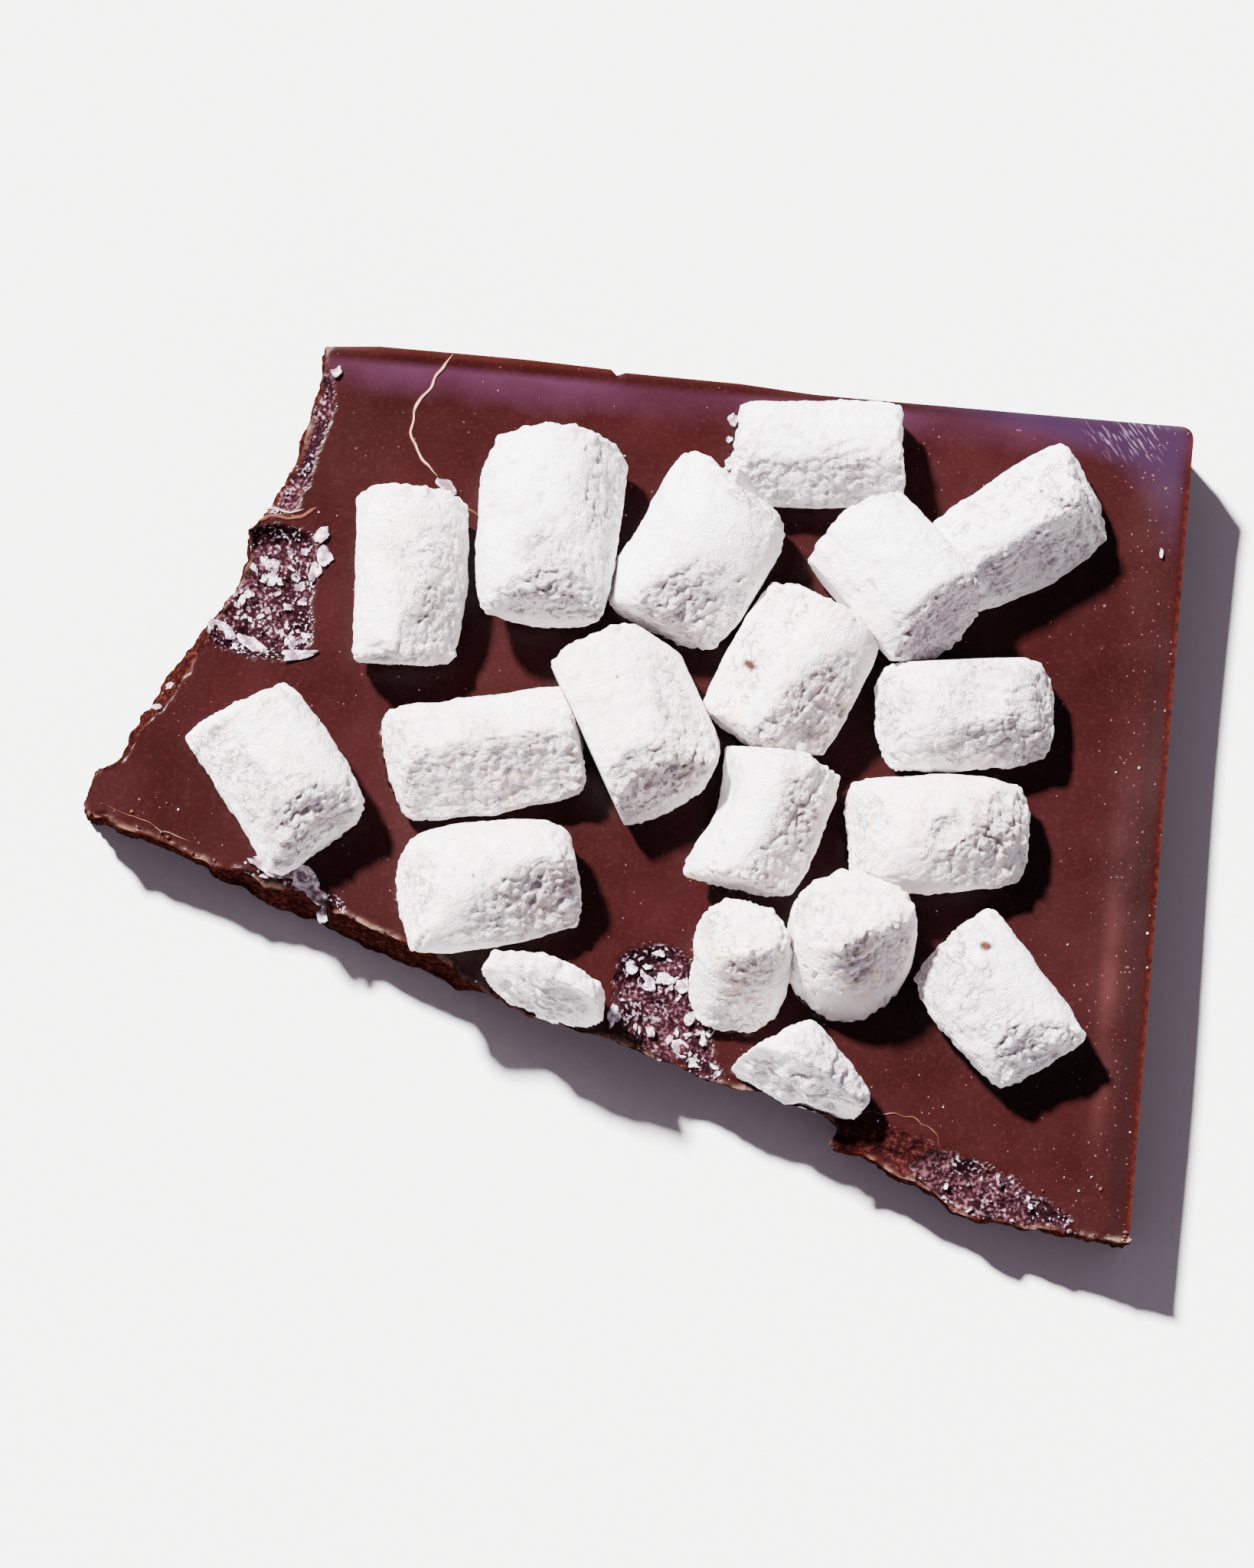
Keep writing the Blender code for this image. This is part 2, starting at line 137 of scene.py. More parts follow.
def lumps(points, size, seed):
    """Smooth random values from -1 to 1: each corner of a cubic lattice of the
    given size gets a number from a hash of its indices, and the eight corners
    round a point are blended along S-curves of its place between them."""
    scaled = points / size
    cell = np.floor(scaled)
    share = scaled - cell
    share = share * share * (3 - 2 * share)
    cell = cell.astype(np.int64).astype(np.uint64)
    keys = (np.uint64(73856093), np.uint64(19349663), np.uint64(83492791))
    mask = np.uint64(0xFFFFFFFF)
    total = np.zeros(points.shape[:-1])
    for corner in range(8):
        weight = np.ones(points.shape[:-1])
        mixed = np.full(points.shape[:-1], np.uint64(seed * 40503 + 12345))
        for axis in range(3):
            step = corner >> axis & 1
            side = share[..., axis]
            weight = weight * (side if step else 1 - side)
            mixed = mixed ^ ((cell[..., axis] + np.uint64(step)) * keys[axis] & mask)
        for _ in range(2):
            mixed = (mixed ^ (mixed >> np.uint64(15))) * np.uint64(2246822519) & mask
            mixed = (mixed ^ (mixed >> np.uint64(13))) * np.uint64(3266489917) & mask
        total += weight * ((mixed >> np.uint64(12)).astype(float) / 0x7FFFF - 1)
    return total


def relief(points, layers, seed=0):
    """The sum of some layers of smooth random values, each with its height, the
    size of its lumps and its own seed."""
    return sum(height * lumps(points, size, seed + own) for height, size, own in layers)


def folds(points, size, seed):
    """Narrow creases from 0 to 1 along the lines where the smooth random values
    change sign, after the points are shifted by a coarser set of them."""
    shift = np.stack([lumps(points, size * 1.6, seed + k) for k in (1, 2, 3)], axis=-1)
    return np.maximum(0, 1 - 2.6 * np.abs(lumps(points + 0.6 * size * shift, size, seed))) ** 2


def even_profile(length, width, square, rows):
    """Half of a superellipse from one end's middle over the side to the other
    end, with |axial| and radial as powers of cosine and sine, resampled to even
    steps. Also gives how far each point lies from the nearest corner."""
    sweep = np.linspace(0, math.pi, 6001)
    power = 2 / square
    axial = -np.sign(np.cos(sweep)) * np.abs(np.cos(sweep)) ** power
    radial = np.abs(np.sin(sweep)) ** power
    step = np.hypot(np.diff(axial) * length / 2, np.diff(radial) * width / 2)
    run = np.concatenate(((0.0,), np.cumsum(step)))
    even = np.linspace(0, run[-1], rows + 2)[1:-1]
    corner = np.interp(math.pi / 4, sweep, run)
    apart = np.abs(np.minimum(even, run[-1] - even) - corner)
    return np.interp(even, run, axial), np.interp(even, run, radial), apart


def turn_of(place):
    """The turn from a marshmallow's own axes, with x along it, to the plan's."""
    return np.array(Euler((0, -math.radians(place.tilt), math.radians(place.heading))).to_matrix())


def grid_normals(points):
    """Unit normals of a grid that is closed round its second axis, from the
    cross product of the steps to the neighbours along and around."""
    around = np.roll(points, -1, axis=1) - np.roll(points, 1, axis=1)
    along = np.gradient(points, axis=0)
    normal = np.cross(around, along)
    return normal / np.maximum(np.linalg.norm(normal, axis=2, keepdims=True), 1e-9)


def rod(place, seed, square, rows, columns):
    """A squared-off oval rod about x: the profile turned round the axis, made
    wider or narrower along it by a taper and a waist and round it by two
    cosines, sheared at its ends and bent a little both ways."""
    rng = np.random.default_rng(seed)
    taper, waist, oval, lobe = rng.uniform(-1, 1, 4) * (TAPER, WAIST, OVAL, LOBE)
    bend, lift = rng.uniform(-1, 1, 2) * (BEND, LIFT)
    turn_a, turn_b, turn_c = rng.uniform(0, 2 * math.pi, 3)
    slant = rng.uniform(*SLANT)
    axial, radial, apart = even_profile(place.length, place.width, square, rows)
    angle = np.arange(columns) * 2 * math.pi / columns
    t, angle = np.meshgrid(axial, angle, indexing="ij")
    r = np.broadcast_to(radial[:, None], t.shape)
    swell = 1 + taper * t - waist * (1 - t ** 2)
    swell = swell + oval * np.cos(2 * angle + turn_a) + lobe * np.cos(3 * angle + t + turn_b)
    half_width = place.width / 2
    x = place.length / 2 * t + slant * t * r * np.cos(angle + turn_c)
    bow = t ** 2 - BEND_MIDDLE
    y = half_width * r * swell * np.cos(angle) + bend * bow
    z = half_width * HEIGHT_SHARE * r * swell * np.sin(angle) + lift * bow
    return np.stack((x, y, z), axis=2), t, r, np.broadcast_to(apart[:, None], t.shape)


def close_ends(points):
    """The grid's points as one list, with the middle of its first and of its
    last ring added as the two poles."""
    return np.vstack((points.reshape(-1, 3), points[0].mean(axis=0), points[-1].mean(axis=0)))


def shell_faces(rows, columns):
    """Quads between the rings of a grid closed round its second axis, and a fan
    of triangles from each pole, with every face turned the same way."""
    ring = np.arange(columns)
    after = (ring + 1) % columns
    start = np.arange(rows - 1)[:, None] * columns
    quads = np.stack((start + ring, start + after, start + columns + after,
                      start + columns + ring), axis=2)
    first = rows * columns
    last = (rows - 1) * columns
    near_fan = np.stack((np.full(columns, first), after, ring), axis=1)
    far_fan = np.stack((np.full(columns, first + 1), last + ring, last + after), axis=1)
    return [quads.reshape(-1, 4), np.vstack((near_fan, far_fan))]


# Dents, hollows and bulges of single marshmallows, counted from 0: where along it
# from -1 to 1 and round it in degrees (0 its left side, 90 its top), how wide and
# how deep in millimetres, with a bulge as a negative depth
DENTS = {
    1: ((0.75, 60, 2.2, 0.45), (0.35, 80, 1.3, 0.35), (-0.6, 150, 3.0, -0.3)), 2: ((1.0, 60, 2.4, 0.5),),
    4: ((0.5, 100, 2.6, 0.7), (0.25, 60, 1.8, 0.35), (-0.3, 80, 3.4, -0.4)),
    5: ((0.1, 80, 2.2, 0.35), (-0.7, 70, 2.0, 0.4)),
    7: ((0.3, 72, 4.2, 1.7), (-0.6, 85, 2.0, -0.6), (0.95, 60, 2.0, -0.4)),
    8: ((0.55, 85, 2.2, 0.4), (-0.4, 90, 3.4, -0.35)), 9: ((-0.1, 40, 2.2, 0.35), (0.4, 130, 1.6, 0.3)),
    11: ((0.1, 15, 4.2, 1.9), (0.6, 60, 2.4, 0.35), (-0.9, 10, 2.4, -0.7)),
    12: ((0.1, 95, 1.8, 0.9), (0.55, 60, 2.2, 0.5), (-0.55, 90, 2.6, -0.4)),
    13: ((0.0, 60, 3.2, -0.4), (-0.8, 110, 2.4, 0.5)), 14: ((0.3, -95, 2.2, 0.4), (1.0, 90, 3.4, -0.9)),
    15: ((0.4, -80, 2.6, -0.3), (0.9, -60, 2.0, 0.4), (1.0, 90, 3.8, -0.9)),
    16: ((-0.95, 45, 3.0, 0.9), (0.4, 70, 2.2, 0.3)),
}

# Flats with a soft fold round them: the heading in the plan and the rise in
# degrees that the flat faces, how many millimetres are gone there, and on some how
# much grey painted shade lies on it
FLATS = {
    0: ((-84, 38, 1.2),), 1: ((-55, 32, 1.9), (32, 32, 1.0), (125, 45, 0.9), (-8, 24, 1.0, 0.5)),
    2: ((-100, 50, 0.8), (-44, 27, 2.1, 1.2)), 3: ((-68, 46, 2.1), (40, 40, 0.6)),
    4: ((-82, 42, 2.0), (10, 35, 1.0)), 5: ((-28, 46, 1.6), (-95, 38, 0.8)),
    6: ((-40, 44, 1.8), (152, 45, 0.9)), 7: ((10, 50, 1.9, 0.9), (-66, 40, 1.5), (190, 36, 1.4, 0.4)),
    8: ((-72, 44, 2.1), (30, 50, 0.9)), 9: ((-76, 46, 2.0), (175, 40, 0.8)),
    10: ((-55, 42, 2.0), (215, 45, 0.7)), 11: ((-35, 46, 1.5),),
    12: ((185, 42, 1.3), (-48, 44, 2.2), (20, 48, 1.2, 0.4)), 13: ((-52, 44, 2.2), (185, 40, 1.1)),
    14: ((-80, 30, 0.9), (150, 40, 0.8)), 15: ((-45, 32, 1.0), (160, 45, 0.8)),
    16: ((178, 26, 1.8, 0.6), (-62, 44, 1.9)), 17: ((150, 50, 0.9),), 18: ((-10, 44, 2.2),),
}
FOLD, FOLD_SHARE = 0.3, 0.92

# Crumpled patches, where the skin shrank most and painted shade greys it: where in
# the plan, and how wide
CRUMPLED = {
    0: ((-27.5, -7.8, 2.2),),
    1: ((-12.0, -13.6, 3.4), (-9.0, -11.6, 2.6), (-15.2, -14.4, 2.4), (-11.8, -8.2, 1.8)),
    2: ((-19.5, -19.5, 3.0),), 3: ((-40.0, -18.4, 3.6),), 4: ((-51.1, -17.4, 3.3),),
    5: ((-60.7, -18.4, 4.2),), 6: ((-28.6, -26.2, 3.4),), 7: ((-15.6, -24.6, 5.2),),
    8: ((-40.1, -32.3, 3.4),), 9: ((-53.7, -34.4, 4.4),), 10: ((-70.3, -38.6, 3.6),),
    11: ((-29.6, -34.6, 2.6),), 12: ((-18.0, -35.9, 2.4), (-13.9, -34.0, 3.0)),
    13: ((-48.6, -43.9, 3.6),), 14: ((-33.0, -48.6, 2.6),), 15: ((-24.2, -46.6, 3.0),),
    16: ((-12.9, -50.6, 3.8), (-14.6, -47.2, 2.6)), 17: ((-49.6, -51.0, 3.0),),
    18: ((-26.6, -55.0, 3.0),),
}

# How crisp the ends of each marshmallow are
CRISP = (6.5, 4.2, 4.6, 5.2, 4.9, 5.4, 5.8, 3.4, 4.4, 5.2, 5.2, 5.0, 3.8, 3.9, 3.6, 3.6, 5.0, 4.2, 4.2)

# How much grey painted shade lies on the end faces: a plain amount, and more on some
PLAIN_END = 0.15
END_PAINTED_SHADE = {2: 0.5, 1: 0.5, 8: 0.4, 3: 0.4, 16: 0.5}

# Layers of the skin's relief, as height, size and seed: broad lumps, wrinkles, and
# the ragged crust on the rims, which stands out by its own height. Creases have
# the stretch of their pattern too, which runs round the rod or along it
BROAD_LUMPS = ((0.2, 3.4, 21), (0.1, 1.6, 22))
WRINKLES = ((0.06, 0.95, 28), (0.075, 0.5, 24), (0.05, 0.33, 25))
CRUST, CRUST_WIDE, CRUST_RAGGED = 0.14, 0.75, ((0.24, 0.95, 30), (0.22, 0.44, 31))
EVEN, BANDED, LENGTHWISE = (1.0, 1.0, 1.0), (1.0, 0.55, 0.55), (0.5, 1.0, 1.0)
CREASES = ((0.3, 2.6, 0, EVEN), (0.4, 1.2, 9, BANDED), (0.5, 1.1, 17, LENGTHWISE),
           (0.4, 0.72, 18, EVEN))
CREASE_DEEP, PIT_DEEP, DISH_DEEP = 0.2, 0.2, 0.3


def dried(place, seed, index):
    """A rod with its dried skin, in its own axes: dents as bell curves, flats as
    planes that soften into the rest, then along the normals broad lumps, creases
    and wrinkles that are deepest in the crumpled patches, a ragged crust on the
    rims and shallow dishes for the end faces. Also gives the masks of the skin:
    of painted shade in the creases, pits and crumpled patches, of painted shade on
    the ends and flats, on a crust, and where it crinkled, which gets painted shade
    in its fine folds."""
    points, t, r, apart = rod(place, seed, CRISP[index], ALONG, AROUND)
    turn = turn_of(place)
    half_size = np.array((place.length, place.width, place.width * HEIGHT_SHARE)) / 2
    for along, around, wide, deep in DENTS.get(index, ()):
        around = math.radians(around)
        middle = half_size * (along, math.cos(around), math.sin(around))
        bell = np.exp(-((points - middle) ** 2).sum(axis=2) / (wide ** 2 / 2))
        points = points - (bell * deep)[:, :, None] * middle / np.linalg.norm(middle)
    on_flat, painted_flat_shade = np.zeros(t.shape), np.zeros(t.shape)
    # A flat's fourth value, where given, is how much grey painted shade lies on it
    for faces, rise, gone, *dust_and_painted_shade in FLATS.get(index, ()):
        faces, rise = math.radians(faces), math.radians(rise)
        out = np.array((math.cos(rise) * math.cos(faces), math.cos(rise) * math.sin(faces),
                        math.sin(rise))) @ turn
        over = points @ out - (points @ out).max() + gone
        points = points - (FOLD_SHARE * FOLD * np.logaddexp(0, over / FOLD))[:, :, None] * out
        share = np.clip(over / FOLD, 0, 1)
        on_flat = np.maximum(on_flat, share)
        painted_flat_shade = np.maximum(painted_flat_shade, share * (dust_and_painted_shade[0] if dust_and_painted_shade else 0.0))
    normal = grid_normals(points)
    plan = points @ turn.T
    crumple = np.zeros(t.shape)
    upper = np.clip(0.5 + plan[..., 2] / 3, 0, 1)
    for x, y, wide in CRUMPLED.get(index, ()):
        away = np.hypot(plan[..., 0] + place.x - x, plan[..., 1] + place.y - y)
        ragged = wide * (0.8 + 0.35 * lumps(points, 1.9, seed + 45))
        crumple = np.maximum(crumple, upper * np.exp(-(away / ragged) ** 4))
    rim = np.exp(-(apart / CRUST_WIDE) ** 2)
    on_end = np.clip((np.abs(t) - 0.9) * 12, 0, 1) * np.clip((0.95 - r) * 6, 0, 1)
    busy = np.clip(0.6 + 0.5 * lumps(points, 4.5, seed + 40) + 0.4 * t ** 4, 0.35, 1.1)
    busy = busy + 0.35 * on_flat * (painted_flat_shade < 1) + 0.7 * crumple
    crease = sum(height * folds(points * stretch, size, seed + own)
                 for height, size, own, stretch in CREASES)
    pits = np.clip((lumps(points, 0.55, seed + 26) - 0.55) * 5, 0, 1)
    pits = pits * np.clip(2.5 * lumps(points, 3.2, seed + 27) + crumple, 0, 1)
    wrinkle = relief(points, WRINKLES, seed) + 0.05 * lumps(points * BANDED, 0.55, seed + 23)
    crust = CRUST + relief(points, CRUST_RAGGED, seed)
    dish = on_end * (DISH_DEEP * (1 - (r / 0.95) ** 2) + 0.07 * lumps(points, 0.45, seed + 33))
    outward = relief(points, BROAD_LUMPS, seed) + busy * (wrinkle - CREASE_DEEP * crease)
    outward = outward - PIT_DEEP * pits + rim * crust - dish
    points = points + outward[:, :, None] * normal
    crinkled = np.maximum(on_flat * (painted_flat_shade < 1), crumple)
    crinkled = crinkled * (0.8 + 0.4 * lumps(points, 1.7, seed + 34))
    # The crease and end masks place painted shade: in the creases, pits and crumpled patches, and on the
    # end faces and flats
    return points, {
        "crease": np.clip(busy * crease * 0.7 + pits + 0.3 * crumple, 0, 1),
        "end": np.maximum(on_end * END_PAINTED_SHADE.get(index, PLAIN_END), np.maximum(painted_flat_shade, 0.2 * on_flat)),
        "crust": np.maximum(rim * (crust > 0.1), crumple),
        "crinkled": np.clip(0.08 + crinkled, 0, 1)}


def settle(place, points):
    """The middle of a marshmallow, so that its lowest point lies at its depth
    below the poured top."""
    turned = points.reshape(-1, 3) @ turn_of(place).T
    surface = top_height(place.x, place.y)
    return np.array((place.x, place.y, surface - place.depth - turned[:, 2].min()))


def contact_plane(place_a, middle_a, place_b, middle_b):
    """The plane between two neighbours, square to the shortest line from one
    core to the other and set by their widths, and whether they may touch."""
    cores = []
    for place, middle in ((place_a, middle_a), (place_b, middle_b)):
        reach = max(CORE_LEAST, place.length / 2 - CORE_SHARE * place.width)
        along = np.linspace(-reach, reach, CORE_POINTS)[:, None]
        cores.append(middle + along * (turn_of(place) @ np.array((1.0, 0.0, 0.0))))
    spans = cores[1][None, :, :] - cores[0][:, None, :]
    lengths = np.linalg.norm(spans, axis=2)
    best = np.unravel_index(lengths.argmin(), lengths.shape)
    span, length = spans[best], lengths[best]
    share = place_a.width / (place_a.width + place_b.width)
    near = length < (place_a.width + place_b.width) / 2 + NEAR
    return cores[0][best[0]] + span * share, span / length, near


def press_back(points, origin, direction, gap):
    """Points that stand beyond a plane are pressed flat against it."""
    beyond = (points - origin) @ direction + gap / 2
    return points - np.maximum(beyond, 0)[..., None] * direction


places = list(MARSHMALLOWS) + [broken.place for broken in HALF_MARSHMALLOWS]
middles, bodies, skins = [], [], []
for index, place in enumerate(places):
    smooth = rod(place, FIRST_SEED + index, SQUARENESS, SETTLE_ALONG, SETTLE_AROUND)[0]
    middle = settle(place, smooth)
    points, skin = dried(place, FIRST_SEED + index, index)
    middles.append(middle)
    bodies.append(middle + points @ turn_of(place).T)
    skins.append(skin)
for first in range(len(places)):
    for second in range(first + 1, len(places)):
        origin, direction, near = contact_plane(
            places[first], middles[first], places[second], middles[second])
        if near:
            bodies[first] = press_back(bodies[first], origin, direction, CONTACT_GAP)
            bodies[second] = press_back(bodies[second], origin, -direction, CONTACT_GAP)


def add_node(tree, kind, inputs=(), **options):
    """A shader node with its options set. Each input is a socket's name or
    number with a value or with the output that feeds it."""
    item = tree.nodes.new("ShaderNode" + kind)
    for name, value in options.items():
        setattr(item, name, value)
    for name, value in inputs:
        if isinstance(value, bpy.types.NodeSocket):
            tree.links.new(value, item.inputs[name])
        else:
            item.inputs[name].default_value = value
    return item


def math_node(tree, operation, *values):
    """The output of a Math node on one to three values or outputs."""
    return add_node(tree, "Math", enumerate(values), operation=operation).outputs[0]


def times(tree, first, *more):
    """The product of some values or outputs."""
    for value in more:
        first = math_node(tree, "MULTIPLY", first, value)
    return first


def blend_node(tree, amount, first, second):
    """The colour between two colours or outputs, by an amount from 0 to 1."""
    first, second = ((*colour, 1) if isinstance(colour, tuple) else colour
                     for colour in (first, second))
    item = add_node(tree, "Mix", ((0, amount), (6, first), (7, second)), data_type="RGBA")
    return item.outputs[2]


def coat(tree, under, colour, *amounts):
    """One colour laid over another by the product of the amounts."""
    return blend_node(tree, times(tree, *amounts), under, colour)


def own_place(tree):
    """The place on the piece in metres, which is its place on the object."""
    return add_node(tree, "TexCoord").outputs["Object"]


def noise_node(tree, size, detail=2.0, vector=None):
    """The output of a Noise Texture whose lumps are about size millimetres."""
    if vector is None:
        vector = own_place(tree)
    item = add_node(tree, "TexNoise", (("Vector", vector), ("Scale", 1 / (size * MM)),
                                       ("Detail", detail)))
    return item.outputs["Fac"]


def ramp_node(tree, value, low, high):
    """A value spread from 0 at low to 1 at high, held at both ends."""
    item = add_node(tree, "MapRange", (("Value", value), ("From Min", low), ("From Max", high)))
    return item.outputs[0]


def patches(tree, size, detail, low, high):
    """Patches from 0 to 1 where noise of a size goes from low to high."""
    return ramp_node(tree, noise_node(tree, size, detail), low, high)


def mask_node(tree, name):
    """The value of a vertex attribute of the piece."""
    return add_node(tree, "Attribute", attribute_name=name).outputs["Fac"]


def new_group(name, inputs, outputs):
    """An empty node group with number sockets, its tree and its two end nodes."""
    tree = bpy.data.node_groups.new(name, "ShaderNodeTree")
    for socket, value in inputs:
        item = tree.interface.new_socket(socket, in_out="INPUT", socket_type="NodeSocketFloat")
        item.default_value = value
    for socket in outputs:
        tree.interface.new_socket(socket, in_out="OUTPUT", socket_type="NodeSocketFloat")
    return tree, tree.nodes.new("NodeGroupInput"), tree.nodes.new("NodeGroupOutput")


# Dry grain, on skin, crust and broken chocolate alike: two sizes of fine noise
# as a height, and the same noise as a mask of its hollows, where the skins lay
# painted shade
dry_grain, grain_in, grain_out = new_group(
    "dry grain", (("Size", 0.3), ("Fine Share", 0.5)), ("Height", "Hollow"))
grain_scale = math_node(dry_grain, "DIVIDE", 1 / MM, grain_in.outputs["Size"])
coarse_grain, fine_grain = (
    add_node(dry_grain, "TexNoise", (("Vector", own_place(dry_grain)), ("Scale", scale),
                                     ("Detail", 2.0))).outputs["Fac"]
    for scale in (grain_scale, math_node(dry_grain, "MULTIPLY", grain_scale, 2.7)))
grain_sum = math_node(dry_grain, "MULTIPLY_ADD", fine_grain, grain_in.outputs["Fine Share"],
                      coarse_grain)
dry_grain.links.new(grain_sum, grain_out.inputs["Height"])
dry_grain.links.new(ramp_node(dry_grain, coarse_grain, 0.56, 0.36), grain_out.inputs["Hollow"])


def grain_node(tree, size):
    """The dry grain group placed in a material: its height and its hollows."""
    item = add_node(tree, "Group", node_tree=dry_grain)
    item.inputs["Size"].default_value = size
    return item.outputs["Height"], item.outputs["Hollow"]


def new_material(name, roughness, specular):
    """An empty material, its tree and its Principled shader."""
    material = bpy.data.materials.new(name)
    material.use_nodes = True
    shader = material.node_tree.nodes["Principled BSDF"]
    shader.inputs["Roughness"].default_value = roughness
    shader.inputs["Specular IOR Level"].default_value = specular
    return material, material.node_tree, shader


def lay_on(tree, shader, colour, height=None, strength=1.0, deep=0.0):
    """The shader fed with a colour, and with a height as a bump some millimetres
    deep."""
    tree.links.new(colour, shader.inputs["Base Color"])
    if height is not None:
        bump = add_node(tree, "Bump", (("Strength", strength), ("Distance", deep * MM),
                                       ("Height", height)))
        tree.links.new(bump.outputs[0], shader.inputs["Normal"])


# Dried skin: dusty white, ivory where the sugar browned a little, with brown stains
# where chocolate touched it. Cool grey painted shade lies in its creases, pits and
# crumpled patches, on its end faces and flats, in the hollows of its grain and in
# the fine folds where it crinkled
sugar_skin, tree, shader = new_material("dried marshmallow skin", 0.9, 0.25)
shader.inputs["Subsurface Weight"].default_value = 0.05
shader.inputs["Subsurface Radius"].default_value = (0.0012, 0.0009, 0.0009)
shader.inputs["Subsurface Scale"].default_value = 1.0
grain_height, grain_hollow = grain_node(tree, 0.26)
# Fine folds where the skin crinkled: grooves in the bump, also painted grey as the shade in them
fine_folds = math_node(tree, "ABSOLUTE", math_node(tree, "SUBTRACT", noise_node(tree, 0.85, 4.0), 0.5))
fine_folds = times(tree, ramp_node(tree, fine_folds, 0.04, 0.0), patches(tree, 1.1, 2.0, 0.42, 0.56),
                   mask_node(tree, "crinkled"))
white = blend_node(tree, patches(tree, 2.5, 4.0, 0.35, 0.65), (0.82, 0.79, 0.82), (0.90, 0.885, 0.89))
# Over the whites: ivory, then painted shade in the creases, pits and crumpled patches, on the end faces and
# flats, in the grain's hollows and in the fine folds, then the stains
for colour, *amounts in (
        ((0.84, 0.66, 0.50), mask_node(tree, "ivory"), patches(tree, 1.7, 3.0, 0.42, 0.60)),
        ((0.34, 0.275, 0.32), mask_node(tree, "crease"), 0.72),
        ((0.25, 0.185, 0.215), mask_node(tree, "end"),
         math_node(tree, "MULTIPLY_ADD", grain_hollow, 0.5, 0.35)),
        ((0.50, 0.44, 0.50), grain_hollow, 0.12),
        ((0.30, 0.235, 0.275), fine_folds, 0.75),
        ((0.055, 0.011, 0.006), mask_node(tree, "stain"))):
    white = coat(tree, white, colour, *amounts)
lay_on(tree, shader, white, math_node(tree, "MULTIPLY_ADD", fine_folds, -0.9, grain_height), 1.0, 0.15)


def new_piece(name, points, faces, material, slot, replaced=None, masks=()):
    """A mesh object on the object's one body: points in plan millimetres, faces
    as index arrays turned outwards by the sign of their volume, and a value for
    each vertex under each mask's name."""
    around = points - points.mean(axis=0)
    volume = sum(np.einsum("ij,ij->", around[face[:, 0]],
                           np.cross(around[face[:, k]], around[face[:, k + 1]]))
                 for face in faces for k in range(1, face.shape[1] - 1))
    if volume < 0:
        faces = [face[:, ::-1] for face in faces]
    mesh = bpy.data.meshes.new(name)
    mesh.vertices.add(len(points))
    mesh.vertices.foreach_set("co", ((points + CORNER) * MM).astype(np.float32).ravel())
    corners = np.concatenate([face.ravel() for face in faces])
    sizes = np.concatenate([np.full(len(face), face.shape[1]) for face in faces])
    mesh.loops.add(len(corners))
    mesh.loops.foreach_set("vertex_index", corners.astype(np.int32))
    mesh.polygons.add(len(sizes))
    mesh.polygons.foreach_set("loop_start", (np.cumsum(sizes) - sizes).astype(np.int32))
    mesh.polygons.foreach_set("use_smooth", np.ones(len(sizes), bool))
    mesh.update(calc_edges=True)
    for mask, values in masks:
        mesh.attributes.new(mask, "FLOAT", "POINT").data.foreach_set(
            "value", np.asarray(values, np.float32).ravel())
    mesh.materials.append(material)
    piece = bpy.data.objects.new(name, mesh)
    bpy.context.scene.collection.objects.link(piece)
    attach(piece, "root")
    if replaced:
        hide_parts(replaced)
    return piece


# How ivory each whole marshmallow is, counted from 0, and its stains: where in the
# plan, and how wide
PLAIN_IVORY = 0.15
IVORY = {6: 1.0, 8: 0.9, 14: 1.0, 15: 1.0, 5: 0.5, 12: 1.0, 13: 0.7, 9: 0.8, 10: 0.6, 11: 0.5}
STAINS = {6: ((-34.6, -23.7, 0.6),), 16: ((-14.1, -44.4, 0.5),), 13: ((-55.0, -42.6, 0.2),),
          8: ((-45.0, -25.8, 0.18),), 1: ((-12.6, -7.6, 0.26), (-11.0, -8.3, 0.2))}


def with_poles(values):
    """Values of a grid as one list, with the two poles' means added."""
    return np.concatenate((values.ravel(), (values[0].mean(), values[-1].mean())))


skin_faces = shell_faces(ALONG, AROUND)
for index in range(len(MARSHMALLOWS)):
    points, skin = close_ends(bodies[index]), skins[index]
    stain = np.zeros(len(points))
    above = points[:, 2] > middles[index][2]
    for x, y, wide in STAINS.get(index, ()):
        apart = np.hypot(points[:, 0] - x, points[:, 1] - y)
        edge = 1 + 0.5 * lumps(points, 0.5, 77)
        stain = np.maximum(stain, np.clip(2.2 - 2 * apart / (wide * edge), 0, 1) * above)
    skin["ivory"] = IVORY.get(index, PLAIN_IVORY) * (0.35 + 0.65 * skin.pop("crust"))
    masks = [(mask, with_poles(values)) for mask, values in skin.items()]
    new_piece(f"dried_marshmallow_{index + 1:02d}", points, skin_faces, sugar_skin,
              "marshmallow", f"marshmallow_{index + 1:02d}", masks + [("stain", stain)])


# Two half marshmallows: they were set across the line where the bar snapped,
# and tore through with it. The foam inside is open and rough, and its torn face
# gets some grey painted shade.

# How far the torn face bulges, and its relief as height, size and seed
TEAR_BULGE = 0.55
TEAR_ROUGH = ((0.5, 1.9, 61), (0.3, 0.9, 62), (0.16, 0.45, 63))


